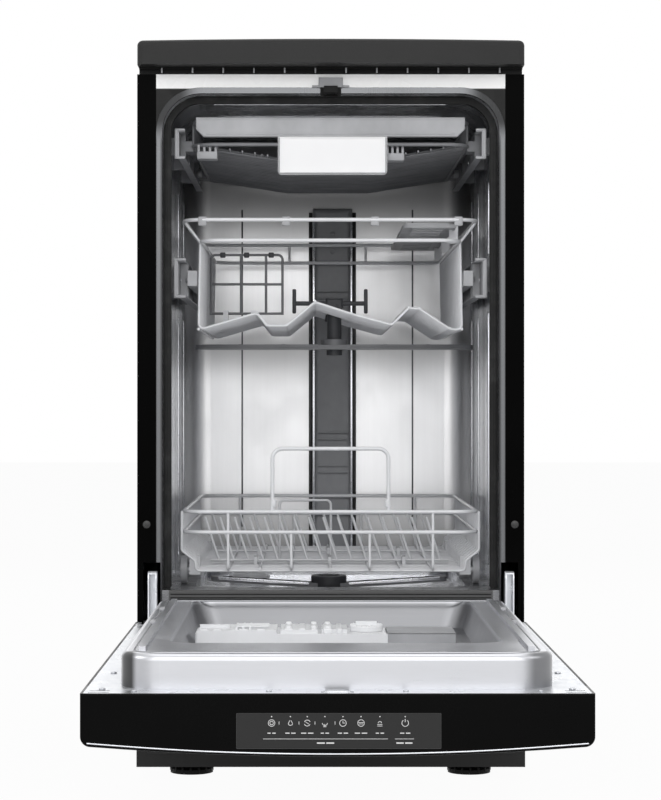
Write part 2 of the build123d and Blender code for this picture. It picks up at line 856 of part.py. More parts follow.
with BuildPart() as circulation_pump:
    volute_x = (drain_radius + boss_reach, drain_radius + boss_reach + volute_length)
    rod(volute_x, arm_place[1], boss_level, volute_radius, Axis.X)
    rod((volute_x[1], volute_x[1] + motor_length), arm_place[1], boss_level, motor_radius, Axis.X)
    fillet(circulation_pump.faces().sort_by(Axis.X)[-1].edges(), softener_round / 2)
circulation_pump.part.label = "circulation_pump"
export_step(circulation_pump.part, "parts/circulation_pump.step")

with BuildPart() as drain_pump:
    pump_y = (boss_y[0] - drain_pump_length, boss_y[0])
    rod(drain_pump_x, pump_y, boss_level, drain_pump_radius, Axis.Y)
    chamfer(drain_pump.faces().sort_by(Axis.Y)[0].edges(), drain_pump_radius / 4)
drain_pump.part.label = "drain_pump"
export_step(drain_pump.part, "parts/drain_pump.step")

# Water softener on the base tray: its neck comes up through the tub floor to the salt cap
cap_place = (cap_x, front + cap_y)
neck_top = floor_top - pan_step
with BuildPart() as water_softener:
    softener_x = span(-1, softener_inner, panel_inner - base_floor - 1)
    softener_z = (base_top, base_top + softener_height)
    block(softener_x, (front + softener_front, front + softener_rear), softener_z)
    fillet(water_softener.edges().filter_by(Axis.Z), softener_round)
    rod(*cap_place, (softener_z[1] - 1, neck_top), cap_radius - slide_gap)
    neck_bore = (softener_z[1] - 1, neck_top + 1)
    rod(*cap_place, neck_bore, cap_radius - slide_gap - cap_wall, mode=Mode.SUBTRACT)
water_softener.part.label = "water_softener"
export_step(water_softener.part, "parts/water_softener.step")

with BuildPart() as salt_cap:
    plug_radius = cap_radius - cap_wall - 2 * slide_gap
    rod(*cap_place, (neck_top - cap_height, neck_top + slide_gap), plug_radius)
    lid_z = (neck_top + slide_gap, neck_top + slide_gap + cap_wall)
    rod(*cap_place, lid_z, cap_radius + 1)
    chamfer(salt_cap.faces().sort_by(Axis.Z)[-1].edges(), 1)
    grip_z = (lid_z[1] - 0.5, lid_z[1] + cap_wall)
    grip_y = (cap_place[1] - key_grip, cap_place[1] + key_grip)
    block((cap_x - plug_radius, cap_x + plug_radius), grip_y, grip_z)
salt_cap.part.label = "salt_cap"
export_step(salt_cap.part, "parts/salt_cap.step")

with BuildPart() as drain_filter:
    rod(*filter_place, (filter_bottom, sump_top + 1.5), filter_radius)
    rod(*filter_place, (filter_bottom - 1, sump_top - sump_wall), filter_radius - 2, mode=Mode.SUBTRACT)
    grip_y = (filter_place[1] - key_grip, filter_place[1] + key_grip)
    grip_x = (filter_x - filter_radius + sump_wall, filter_x + filter_radius - sump_wall)
    block(grip_x, grip_y, (sump_top, sump_top + filter_grip))
    fillet(drain_filter.faces().sort_by(Axis.Z)[-1].edges(), 1)
drain_filter.part.label = "drain_filter"
export_step(drain_filter.part, "parts/drain_filter.step")

with BuildPart() as inlet_valve:
    box_y = (base_rear - base_floor - valve_box, base_rear - base_floor)
    box_z = (valve_level - valve_box / 2, valve_level + valve_box / 2)
    block((valve_x - valve_box / 2, valve_x + valve_box / 2), box_y, box_z)
    fillet(inlet_valve.edges().filter_by(Axis.Y), base_floor)
    neck_y = (box_y[1] - through, base_rear + through)
    rod(valve_x, neck_y, valve_level, thread_radius - neck_step, Axis.Y)
    rod(valve_x, (base_rear, base_rear + thread_length), valve_level, thread_radius, Axis.Y)
    inlet_bore = (box_y[1], base_rear + thread_length + through)
    rod(valve_x, inlet_bore, valve_level, thread_radius - thread_wall, Axis.Y, Mode.SUBTRACT)
inlet_valve.part.label = "inlet_valve"
export_step(inlet_valve.part, "parts/inlet_valve.step")

with BuildPart() as counterweight:
    ballast_x = (-ballast_width / 2, ballast_width / 2)
    ballast_y = (base_rear - base_floor - ballast_depth, base_rear - base_floor)
    block(ballast_x, ballast_y, (base_top, base_top + ballast_height))
    chamfer(counterweight.edges().filter_by(Axis.Z), base_floor)
counterweight.part.label = "counterweight"
export_step(counterweight.part, "parts/counterweight.step")


def spray_arm(place, reach, root_low, tip_low, hub_radius, hub_z, bore_radius):
    """A two-winged spray arm with a hub, its bearing bore and a row of jets on each wing."""
    x, y = place
    with BuildPart() as arm:
        with BuildSketch(Plane.XZ.offset(-y)):
            for side in (-1, 1):
                with BuildLine():
                    Polyline(
                        (x, root_low),
                        (x + side * hub_radius, root_low),
                        (x + side * reach, tip_low),
                        (x + side * reach, tip_low + arm_thickness),
                        (x + side * hub_radius, root_low + arm_thickness),
                        (x, root_low + arm_thickness),
                        close=True,
                    )
                make_face()
        extrude(amount=arm_root / 2, both=True)
        with BuildSketch(Plane.XY.offset(root_low - 1)):
            with BuildLine():
                for side in (-1, 1):
                    Line((x - reach + arm_tip / 2, y + side * arm_tip / 2), (x, y + side * arm_root / 2))
                    Line((x, y + side * arm_root / 2), (x + reach - arm_tip / 2, y + side * arm_tip / 2))
                CenterArc((x + reach - arm_tip / 2, y), arm_tip / 2, -90, 180)
                CenterArc((x - reach + arm_tip / 2, y), arm_tip / 2, 90, 180)
            make_face()
        extrude(amount=tip_low - root_low + arm_thickness + 2, mode=Mode.INTERSECT)
        rod(x, y, hub_z, hub_radius)
        for side in (-1, 1):
            for jet in range(jet_count):
                jet_x = x + side * (hub_radius + (reach - hub_radius) * (jet + 0.6) / jet_count)
                jet_z = (tip_low + arm_thickness - 2, tip_low + arm_thickness + 2)
                rod(jet_x, y + side * (jet - 1) * 2, jet_z, jet_radius, mode=Mode.SUBTRACT)
        bore_z = (hub_z[0] - 1, hub_z[1] - arm_thickness / 3)
        rod(x, y, bore_z, bore_radius, mode=Mode.SUBTRACT)
    return arm


lower_spray_arm = spray_arm(
    arm_place,
    lower_arm_reach,
    lower_arm_low,
    lower_arm_low + lower_arm_rise,
    lower_hub_radius,
    (post_top + slide_gap, lower_hub_top),
    post_pin + slide_gap,
)
lower_spray_arm.part.label = "lower_spray_arm"
export_step(lower_spray_arm.part, "parts/lower_spray_arm.step")

# Door, drawn open: the outer panel is a shell with a hem along its sides
skin_top = above(door_back)
with BuildPart() as panel_hollow:
    with BuildSketch(Plane.XZ.offset(-hinge_y - door_below_hinge - 1)):
        add(door_section(-door_sheet, skin_top))
    extrude(amount=fascia_start + door_below_hinge + 2)
    with BuildSketch(Plane.YZ.offset(-half_width)):
        add(door_side(-door_sheet, skin_top))
    extrude(amount=cabinet_width, mode=Mode.INTERSECT)
    for side in (-1, 1):
        hem_x = span(side, half_width - fascia_wall, half_width)
        block(hem_x, (along(fascia_start), hinge_y), (skin_top - door_hem, skin_top), Mode.SUBTRACT)
with BuildPart() as outer_door_panel:
    with BuildSketch(Plane.XZ.offset(-hinge_y - door_below_hinge - 1)):
        add(door_section(0, skin_top))
    extrude(amount=fascia_start + door_below_hinge + 2)
    with BuildSketch(Plane.YZ.offset(-half_width)):
        add(door_side(0, skin_top))
    extrude(amount=cabinet_width, mode=Mode.INTERSECT)
    add(panel_hollow.part, mode=Mode.SUBTRACT)
    for side in (-1, 1):
        slot_y = (hinge_y - bracket_nose, hinge_y + door_below_hinge + 1)
        slot_z = (hinge_height - bracket_half - bracket_gap, skin_top + 1)
        block(span(side, slot_inner, slot_outer), slot_y, slot_z, Mode.SUBTRACT)
outer_door_panel.part.label = "outer_door_panel"
export_step(outer_door_panel.part, "parts/outer_door_panel.step")

# Galvanised frame that closes the back of the door round the liner
frame_z = (skin_top - door_frame_sheet, skin_top)
with BuildPart() as door_frame:
    frame_end = door_above_hinge - fascia_wall
    frame_foot = bracket_gap * 3
    door_frame_half = half_width - fascia_wall
    block((-door_frame_half, door_frame_half), (along(frame_end), hinge_y + frame_foot), frame_z)
    window_half = liner_half - liner_seat
    window_y = (along(liner_head - liner_seat), along(liner_foot + liner_seat))
    block((-window_half, window_half), window_y, frame_z, Mode.SUBTRACT)
    latch_y = (along(liner_head + latch_slot_length + 1), along(liner_head + 1))
    block((-latch_slot_half, latch_slot_half), latch_y, frame_z, Mode.SUBTRACT)
    for side in (-1, 1):
        slot_y = (along(lever_half * 2), hinge_y + frame_foot + 1)
        block(span(side, slot_inner, slot_outer), slot_y, frame_z, Mode.SUBTRACT)
        vent_x = span(side, door_frame_half - frame_slot_length, door_frame_half - frame_slot_width)
        for vent in range(2):
            vent_u = frame_end - (3 * vent + 2) * frame_slot_width
            block(vent_x, (along(vent_u + frame_slot_width), along(vent_u)), frame_z, Mode.SUBTRACT)
door_frame.part.label = "door_frame"
export_step(door_frame.part, "parts/door_frame.step")


def liner_form(inset, low, high):
    """The raised outer form of the liner, shrunk by the inset."""
    with BuildPart() as form:
        with BuildSketch(Plane.XY.offset(low)) as outline:
            with Locations((0, along((liner_head + liner_foot) / 2))):
                Rectangle(2 * (liner_half - inset), liner_head - liner_foot - 2 * inset)
            fillet(outline.vertices().group_by(Axis.Y)[-1], liner_foot_corner - inset)
            fillet(outline.vertices().group_by(Axis.Y)[0], liner_corner - inset)
        extrude(amount=high - low)
        fillet(form.faces().sort_by(Axis.Z)[-1].edges(), liner_round - inset)
    return form.part


def recess_form(grow):
    """The sloped recess in the liner, or its outer form when grown by the sheet."""
    middle = along((recess_foot + recess_head) / 2)
    length = recess_head - recess_foot + 2 * grow
    wide = 2 * (recess_half + grow)
    with BuildPart() as form:
        with BuildSketch(Plane.XY.offset(rim_top + 1)):
            with Locations((0, middle)):
                RectangleRounded(wide, length, recess_corner + grow)
        with BuildSketch(Plane.XY.offset(recess_floor - grow)):
            with Locations((0, middle)):
                RectangleRounded(wide - recess_draft, length - 2 * recess_draft, recess_corner + grow)
        loft()
    return form.part


with BuildPart() as liner_hollow:
    add(liner_form(liner_sheet, skin_top - 1, rim_top - liner_sheet))
    add(recess_form(liner_sheet), mode=Mode.SUBTRACT)
with BuildPart() as door_liner:
    add(liner_form(0, skin_top, rim_top))
    add(recess_form(0), mode=Mode.SUBTRACT)
    add(liner_hollow.part, mode=Mode.SUBTRACT)
    for side in (-1, 1):
        ridge_x = span(side, cutlery_rail_inner, cutlery_rail_inner + ridge_width)
        block(ridge_x, (along(ridge_end), along(ridge_start)), (rim_top - 0.5, rim_top + ridge_height))
door_liner.part.label = "door_liner"
export_step(door_liner.part, "parts/door_liner.step")

# Fascia: a cap over the door's upper end, with a pocket for the display and lugs for the latch pawl
pawl_axis = (along(door_above_hinge - pawl_setback), above(pawl_level))
with BuildPart() as fascia_hollow:
    with BuildSketch(Plane.XZ.offset(-along(fascia_start) - 1)):
        add(door_section(-fascia_wall, skin_top + 1))
    extrude(amount=fascia_length - fascia_wall + 1)
with BuildPart() as control_fascia:
    with BuildSketch(Plane.XZ.offset(-along(fascia_start))):
        add(door_section(0, skin_top))
    extrude(amount=fascia_length)
    fillet(control_fascia.faces().sort_by(Axis.Y)[0].edges(), fascia_round)
    add(fascia_hollow.part, mode=Mode.SUBTRACT)
    face_y = along(door_above_hinge)
    pocket_x = (window_left, window_right)
    block(pocket_x, (face_y, face_y + window_depth), (window_low, window_high), Mode.SUBTRACT)
    lug_y = (face_y + fascia_wall / 2, pawl_axis[0] + pawl_rear)
    for side in (-1, 1):
        lug_x = span(side, pawl_half + slide_gap, pawl_half + slide_gap + lug_width)
        block(lug_x, lug_y, (pawl_axis[1] - lug_drop, pawl_axis[1] + pawl_rear))
    rod((-2 * pawl_half, 2 * pawl_half), *pawl_axis, pawl_pin + slide_gap, Axis.X, Mode.SUBTRACT)
control_fascia.part.label = "control_fascia"
export_step(control_fascia.part, "parts/control_fascia.step")

with BuildPart() as display_window:
    glass_x = (window_left + window_gap, window_right - window_gap)
    glass_z = (window_low + window_gap, window_high - window_gap)
    block(glass_x, (face_y + 0.2, face_y + window_depth - window_gap), glass_z)
display_window.part.label = "display_window"
export_step(display_window.part, "parts/display_window.step")

with BuildPart() as control_board:
    board_y = (face_y + fascia_wall + board_gap, face_y + fascia_wall + board_gap + board_sheet)
    board_z = (above(-door_front + 2), above(2))
    block((window_left, window_right), board_y, board_z)
    for peg_x in (window_left + 2 * board_peg, window_right - 2 * board_peg):
        for peg_z in (board_z[0] + 2 * board_peg, board_z[1] - 2 * board_peg):
            rod(peg_x, (board_y[0] - board_gap, board_y[0]), peg_z, board_peg, Axis.Y)
control_board.part.label = "control_board"
export_step(control_board.part, "parts/control_board.step")

with BuildPart() as latch_pawl:
    pawl_y = (pawl_axis[0] - pawl_front, pawl_axis[0] + pawl_rear)
    block((-pawl_half, pawl_half), pawl_y, (pawl_axis[1] - pawl_drop, pawl_axis[1] + pawl_rise))
    pin_end = pawl_half + slide_gap + lug_width
    rod((-pin_end, pin_end), *pawl_axis, pawl_pin, Axis.X)
latch_pawl.part.label = "latch_pawl"
export_step(latch_pawl.part, "parts/latch_pawl.step")

with BuildPart() as door_insulation:
    pad_foot = liner_foot - liner_seat
    pad_head = fascia_start - liner_seat
    with BuildSketch(Plane.XZ.offset(-along(pad_foot))):
        add(door_section(-door_sheet - slide_gap, above(-door_front) + pad_thickness))
    extrude(amount=pad_head - pad_foot)
    pad_x = (bracket_gap - slot_inner, slot_inner - bracket_gap)
    pad_y = (along(pad_head), along(pad_foot))
    block(pad_x, pad_y, (0, cabinet_height), Mode.INTERSECT)
door_insulation.part.label = "door_insulation"
export_step(door_insulation.part, "parts/door_insulation.step")

# Hinges: a lever on each side of the door turns on a pin in a bracket on the cabinet
hinge_place = (hinge_y, hinge_height)
with BuildPart() as hinge_levers:
    for side in (-1, 1):
        lever_x = span(side, lever_inner, lever_outer)
        lever_y = (hinge_y - lever_half, hinge_y + lever_half)
        lever_z = (hinge_height - bracket_nose, hinge_height + lever_reach)
        block(lever_x, lever_y, lever_z)
    fillet(hinge_levers.edges().filter_by(Axis.X).group_by(Axis.Z)[-1], lever_half - 2)
    for side in (-1, 1):
        channel_x = span(side, lever_inner + lever_wall, lever_outer - lever_wall)
        channel_y = (hinge_y - lever_half - 1, hinge_y + lever_half - lever_wall)
        channel_z = (hinge_height + bracket_nose, hinge_height + lever_reach - 2 * lever_wall)
        block(channel_x, channel_y, channel_z, Mode.SUBTRACT)
        lever_x = span(side, lever_inner, lever_outer)
        block(lever_x, (along(lever_arm), hinge_y), (above(lever_half / 2), frame_z[0]))
        pin_x = (lever_x[0] - 1, lever_x[1] + 1)
        rod(pin_x, *hinge_place, hinge_pin_radius + pin_gap, Axis.X, Mode.SUBTRACT)
hinge_levers.part.label = "hinge_levers"
export_step(hinge_levers.part, "parts/hinge_levers.step")

with BuildPart() as hinge_brackets:
    plate_y = (hinge_y - bracket_nose, hinge_y + bracket_tail)
    plate_z = (hinge_height - bracket_half, hinge_height + bracket_half)
    for side in (-1, 1):
        block(span(side, bracket_inner, bracket_outer), plate_y, plate_z)
    fillet(hinge_brackets.edges().filter_by(Axis.X).group_by(Axis.Y)[0], bracket_nose)
    for side in (-1, 1):
        for tab_y in (front + bracket_half, plate_y[1] - bracket_sheet):
            block(span(side, bracket_outer, panel_inner), (tab_y, tab_y + bracket_sheet), plate_z)
        pin_x = span(side, lever_inner - lever_wall, bracket_outer)
        rod(pin_x, *hinge_place, hinge_pin_radius, Axis.X)
hinge_brackets.part.label = "hinge_brackets"
export_step(hinge_brackets.part, "parts/hinge_brackets.step")

with BuildPart() as door_springs:
    for side in (-1, 1):
        spring_x = side * (bracket_outer + bracket_inner) / 2
        spring_y = (plate_y[1], plate_y[1] + spring_length)
        rod(spring_x, spring_y, spring_height, spring_radius, Axis.Y)
        link_z = (spring_height - spring_radius, plate_z[0])
        link_y = (plate_y[1] - spring_radius, plate_y[1] + through)
        block(span(side, bracket_inner, bracket_outer), link_y, link_z)
        anchor_y = (spring_y[1] - 1, spring_y[1] + bracket_sheet)
        anchor_z = (spring_height - spring_radius, spring_height + spring_radius)
        block(span(side, bracket_inner, panel_inner), anchor_y, anchor_z)
door_springs.part.label = "door_springs"
export_step(door_springs.part, "parts/door_springs.step")

# Dispenser on the floor of the liner's recess
deck = recess_floor + dispenser_deck
dispenser_mid = along(dispenser_centre)
dispenser_y = (dispenser_mid - dispenser_length / 2, dispenser_mid + dispenser_length / 2)
cover_y = (dispenser_y[0] + lid_rail + slide_gap, dispenser_y[1] - lid_rail - slide_gap)
with BuildPart() as dispenser_body:
    block((dispenser_left, dispenser_right), dispenser_y, (recess_floor, deck))
    fillet(dispenser_body.edges().filter_by(Axis.Z), lid_rail)
    step_x = (rinse_x + rinse_radius + lid_rail, dispenser_right - dispenser_wall)
    block(step_x, cover_y, (deck - divider_height, deck), Mode.SUBTRACT)
    cup_y = (cover_y[0] + 2 * lid_rail, cover_y[1] - 2 * lid_rail)
    block((cup_left, cup_right), cup_y, (deck - cup_depth, deck), Mode.SUBTRACT)
    slide_x = (cup_left - lid_overlap - lid_travel, cup_right + lid_overlap)
    for slide_y in ((dispenser_y[0], cover_y[0] - slide_gap), (cover_y[1] + slide_gap, dispenser_y[1])):
        block(slide_x, slide_y, (deck, deck + lid_thickness))
    block((divider_left, divider_right), cover_y, (deck, deck + divider_height))
    second_x = (divider_right + divider_height, rinse_x - rinse_radius - lid_rail)
    block(second_x, cup_y, (deck, deck + divider_height))
    rinse_z = (deck - cup_depth, deck + 1)
    rod(rinse_x, dispenser_mid, rinse_z, rinse_radius / 2 + slide_gap, mode=Mode.SUBTRACT)
dispenser_body.part.label = "dispenser_body"
export_step(dispenser_body.part, "parts/dispenser_body.step")

with BuildPart() as detergent_lid:
    lid_x = (cup_left - lid_overlap, cup_right + lid_overlap)
    lid_z = (deck + slide_gap, deck + slide_gap + lid_thickness)
    block(lid_x, cover_y, lid_z)
    for rib in range(3):
        rib_x = lid_x[0] + (rib + 1) * 2 * lid_thickness
        block((rib_x, rib_x + dispenser_wall), cup_y, (lid_z[1], lid_z[1] + dispenser_wall))
detergent_lid.part.label = "detergent_lid"
export_step(detergent_lid.part, "parts/detergent_lid.step")

with BuildPart() as rinse_aid_cap:
    rod(rinse_x, dispenser_mid, (deck + slide_gap, deck + slide_gap + rinse_height), rinse_radius)
    chamfer(rinse_aid_cap.faces().sort_by(Axis.Z)[-1].edges(), 1)
    rod(rinse_x, dispenser_mid, (deck - rinse_height, deck + 1), rinse_radius / 2)
    grip_y = (dispenser_mid - dispenser_wall, dispenser_mid + dispenser_wall)
    grip_x = (rinse_x - rinse_radius + 3, rinse_x + rinse_radius - 3)
    grip_z = (deck + rinse_height, deck + rinse_height + dispenser_wall)
    block(grip_x, grip_y, grip_z)
rinse_aid_cap.part.label = "rinse_aid_cap"
export_step(rinse_aid_cap.part, "parts/rinse_aid_cap.step")

# Cutlery tray: a shallow wire tray that hangs between the upper pair of rails
tray_y = (front + tray_front, front + tray_rear)


def sliders(inner, rail_inner, rail_outer, low, high, places):
    """Slide blocks that run in a pair of rails, each with a neck to the rack beside it."""
    with BuildPart() as blocks:
        for side in (-1, 1):
            for place in places:
                run = (place, place + slider_length)
                head_x = span(side, rail_inner + slide_gap, rail_outer - rail_sheet - slide_gap)
                block(head_x, run, (low + rail_sheet + slide_gap, high - rail_sheet - slide_gap))
                middle = (low + high) / 2
                block(span(side, inner, rail_inner + 1), run, (middle - clip_width, middle + clip_width))
    return blocks.part


def ring(half, low_y, high_y, level, diameter, corner=rack_corner):
    """A closed horizontal loop of wire with rounded corners."""
    with BuildPart() as loop:
        with BuildLine(Plane.XY.offset(level)) as path:
            corners = [(-half, low_y), (half, low_y), (half, high_y), (-half, high_y)]
            FilletPolyline(*corners, radius=corner, close=True)
        with BuildSketch(Plane(origin=path.line @ 0, z_dir=path.line % 0)):
            Circle(diameter / 2)
        sweep(path=path.line)
    return loop.part


tray_sections = [
    (-tray_half, 0, tray_high),
    (-tray_half, 0, tray_low),
    (-tray_half / 3, 0, tray_low - tray_sag),
    (tray_half / 3, 0, tray_low - tray_sag),
    (tray_half, 0, tray_low),
    (tray_half, 0, tray_high),
]
tray_cross = bent_wire(tray_sections, cross_wire)
tray_long_x = [part * tray_half / 6 for part in (-5, -3, -1, 1, 3, 5)]
with BuildPart() as cutlery_tray:
    tray_wire_y = spaced(tray_y[0] + rack_corner, tray_y[1] - rack_corner, tray_wires)
    parts = copies(tray_cross, [(0, y, 0) for y in tray_wire_y])
    parts.append(ring(tray_half, *tray_y, tray_high, frame_wire))
    parts.append(ring(tray_half, *tray_y, tray_low, frame_wire))
    for long_x in tray_long_x:
        drop = tray_sag * min(1, (tray_half - abs(long_x)) / (tray_half * 2 / 3))
        level = tray_low - drop + cross_wire - wire_bite
        end_y = (tray_y[0] + rack_corner - 4, tray_y[1] - rack_corner + 4)
        parts.append(straight_wire((long_x, end_y[0], level), (long_x, end_y[1], level), cross_wire))
    cutlery_rail_span = (cutlery_rail_inner, cutlery_rail_outer, cutlery_rail_low, cutlery_rail_high)
    tray_sliders = (tray_y[0] + rack_corner, tray_y[1] - 4 * rack_corner)
    parts.append(sliders(tray_half, *cutlery_rail_span, tray_sliders))
    add(parts)
cutlery_tray.part.label = "cutlery_tray"
export_step(cutlery_tray.part, "parts/cutlery_tray.step")

with BuildPart() as cutlery_tray_front:
    bar_y = (tray_y[0] - frame_wire / 2 - tray_bar_depth, tray_y[0] - frame_wire / 2)
    block((-tray_bar_half, tray_bar_half), bar_y, (tray_bar_low, tray_bar_high))
    chamfer(cutlery_tray_front.edges().filter_by(Axis.Y).group_by(Axis.Z)[0], tray_bar_chamfer)
    fillet(cutlery_tray_front.faces().sort_by(Axis.Y)[0].edges(), 1.5)
cutlery_tray_front.part.label = "cutlery_tray_front"
export_step(cutlery_tray_front.part, "parts/cutlery_tray_front.step")

with BuildPart() as cutlery_tray_handle:
    plate_x = (handle_left, handle_right)
    block(plate_x, bar_y, (handle_low, tray_bar_low))
    fillet(cutlery_tray_handle.edges().filter_by(Axis.Y).group_by(Axis.Z)[0], handle_border)
    pocket_x = (handle_left + handle_border, handle_right - handle_border)
    pocket_z = (handle_low + handle_border, tray_bar_low - 1)
    block(pocket_x, (bar_y[0], bar_y[0] + handle_recess), pocket_z, Mode.SUBTRACT)
cutlery_tray_handle.part.label = "cutlery_tray_handle"
export_step(cutlery_tray_handle.part, "parts/cutlery_tray_handle.step")

# Upper rack, carrying its feed tube, spray arm, cup shelf and glass holder
upper_y = (front + upper_front, front + upper_rear)
upper_cross = bent_wire([(x, 0, z) for x, z in upper_section], cross_wire)
upper_wire_y = [arm_place[1] + (step + 0.5) * wire_pitch for step in range(-8, 8)]
holder_y = arm_place[1] - wire_pitch
shelf_clips = [front + place for place in shelf_clip_places]
with BuildPart() as upper_fittings:
    clip_reach = clip_wall + shelf_rod
    for y in shelf_clips:
        clip_x = (shelf_hinge_x - clip_reach, shelf_hinge_x + clip_reach + 1)
        clip_z = (upper_section[1][1], shelf_level + clip_reach)
        block(clip_x, (y - clip_width / 2, y + clip_width / 2), clip_z)
    rod(shelf_hinge_x, upper_y, shelf_level, shelf_rod + slide_gap, Axis.Y, Mode.SUBTRACT)
    for x in ((holder_posts[0] + holder_posts[1]) / 2, (holder_posts[1] + holder_posts[2]) / 2):
        clip_y = (holder_y - wire_pitch / 2, holder_y + wire_pitch / 2)
        slope = (x - upper_section[2][0]) / (upper_section[3][0] - upper_section[2][0])
        wire_z = upper_section[2][1] + slope * (upper_section[3][1] - upper_section[2][1])
        block((x - clip_width / 2, x + clip_width / 2), clip_y, (wire_z, holder_level + clip_wall + 1))
    bore_x = (holder_left - 1, holder_right + 1)
    rod(bore_x, holder_y, holder_level, cross_wire / 2 + slide_gap, Axis.X, Mode.SUBTRACT)
with BuildPart() as upper_basket:
    parts = [upper_fittings.part] + copies(upper_cross, [(0, y, 0) for y in upper_wire_y])
    parts.append(ring(upper_rim_half, *upper_y, upper_section[0][1] - wire_bite, frame_wire))
    parts.append(ring(upper_ring_half, *upper_y, upper_section[1][1], frame_wire))
    end_y = (upper_wire_y[0] - cross_wire, upper_wire_y[-1] + cross_wire)
    for x, z in upper_section[2:13]:
        lift = z + cross_wire / 3
        parts.append(straight_wire((x, end_y[0], lift), (x, end_y[1], lift), cross_wire))
    for x in (-2 * rack_corner, 2 * rack_corner):
        y = upper_y[1]
        parts.append(straight_wire((x, y, upper_section[0][1]), (x, y, upper_section[1][1]), cross_wire))
    add(parts)
upper_basket.part.label = "upper_basket"
export_step(upper_basket.part, "parts/upper_basket.step")

with BuildPart() as upper_basket_runners:
    side_x = max(x for x, z in upper_section[2:13]) + cross_wire / 2 + slide_gap / 3
    upper_rail_span = (upper_rail_inner, upper_rail_outer, upper_rail_low, upper_rail_high)
    slider_places = (upper_y[0] + 2 * rack_corner, upper_y[1] - 4 * rack_corner)
    for side in (-1, 1):
        strip_y = (upper_y[0] + rack_corner, upper_y[1] - rack_corner)
        block(span(side, side_x, side_x + runner_depth), strip_y, (runner_low, runner_high))
    add(sliders(side_x, *upper_rail_span, slider_places))
upper_basket_runners.part.label = "upper_basket_runners"
export_step(upper_basket_runners.part, "parts/upper_basket_runners.step")

upper_arm_place = (water_x, arm_place[1])
hub_top = upper_arm_low + arm_thickness + upper_hub_rise
with BuildPart() as upper_feed_tube:
    tube_y = (arm_place[1] - feed_half, duct_front - port_depth - slide_gap)
    block((water_x - feed_half, water_x + feed_half), tube_y, (feed_low, feed_high))
    fillet(upper_feed_tube.edges().filter_by(Axis.Y), 3)
    rod(*upper_arm_place, (hub_top + slide_gap, feed_low + 1), feed_pipe)
    rod(*upper_arm_place, (upper_arm_low - upper_hub_rise / 2, hub_top + through), feed_pin)
    rod(*upper_arm_place, (upper_arm_low - upper_hub_rise, upper_arm_low - slide_gap), feed_collar)
upper_feed_tube.part.label = "upper_feed_tube"
export_step(upper_feed_tube.part, "parts/upper_feed_tube.step")

upper_spray_arm = spray_arm(
    upper_arm_place,
    upper_arm_reach,
    upper_arm_low,
    upper_arm_low,
    upper_hub_radius,
    (upper_arm_low, hub_top),
    feed_pin + slide_gap,
)
with BuildPart() as upper_arm_bore:
    rod(*upper_arm_place, (upper_arm_low - 1, hub_top + 1), feed_pin + slide_gap)
upper_spray_arm.part -= upper_arm_bore.part
upper_spray_arm.part.label = "upper_spray_arm"
export_step(upper_spray_arm.part, "parts/upper_spray_arm.step")

with BuildPart() as cup_shelf:
    shelf_y = (front + shelf_front, front + shelf_rear)
    shelf_z = (shelf_level - shelf_sheet / 2, shelf_level + shelf_sheet / 2)
    block((shelf_inner_x, shelf_hinge_x), shelf_y, shelf_z)
    fillet(cup_shelf.edges().filter_by(Axis.Z).group_by(Axis.X)[0], 2 * clip_width)
    for y in spaced(shelf_y[0] + 2 * clip_width, shelf_y[1] - 2 * clip_width, shelf_slots):
        slot_x = (shelf_inner_x + 2 * clip_width, shelf_hinge_x - 2 * clip_width)
        block(slot_x, (y - clip_width, y + clip_width), shelf_z, Mode.SUBTRACT)
    for y in shelf_clips:
        notch_x = (shelf_hinge_x - 2 * clip_wall - shelf_rod, shelf_hinge_x + 1)
        block(notch_x, (y - clip_width, y + clip_width), shelf_z, Mode.SUBTRACT)
    rod(shelf_hinge_x, shelf_y, shelf_level, shelf_rod, Axis.Y)
cup_shelf.part.label = "cup_shelf"
export_step(cup_shelf.part, "parts/cup_shelf.step")

holder_frame = [
    (holder_left, holder_y, holder_level),
    (holder_left, holder_y, holder_top),
    (holder_right, holder_y, holder_top),
    (holder_right, holder_y, holder_level),
]
with BuildPart() as glass_holder:
    parts = [bent_wire(holder_frame, cross_wire)]
    for x in holder_posts[1:3]:
        parts.append(straight_wire((x, holder_y, holder_level), (x, holder_y, holder_top), cross_wire))
    for z, spare in ((holder_level, cross_wire / 2), ((holder_level + holder_top) / 2, 0)):
        ends = ((holder_left - spare, holder_y, z), (holder_right + spare, holder_y, z))
        parts.append(straight_wire(*ends, cross_wire))
    add(parts)
glass_holder.part.label = "glass_holder"
export_step(glass_holder.part, "parts/glass_holder.step")

# Lower rack, carrying two rows of folding tines and running on four wheels
lower_y = (front + lower_front, front + lower_rear)
lower_wire_y = [front + lower_first_wire + step * wire_pitch for step in range(lower_wire_count)]
corner_x = lower_half - lower_corner
lower_section = [
    (-lower_half - 3, 0, lower_rim),
    (-lower_half - 3, 0, lower_side),
    (-corner_x, 0, lower_floor + lower_shoulder),
    (1.5 - corner_x, 0, lower_floor),
    (corner_x - 1.5, 0, lower_floor),
    (corner_x, 0, lower_floor + lower_shoulder),
    (lower_half + 3, 0, lower_side),
    (lower_half + 3, 0, lower_rim),
]
lower_cross = bent_wire(lower_section, cross_wire, wire_bend * 0.8)
long_level = lower_floor + cross_wire - wire_bite
tine_bar_level = long_level + cross_wire / 2 + tine_wire / 2 + slide_gap
wheel_level = floor_top + slide_gap + wheel_radius
wheel_places = {name: lower_wire_y[wire] for name, wire in wheel_wires.items()}
tine_y = {name: front + place for name, place in tine_rows.items()}
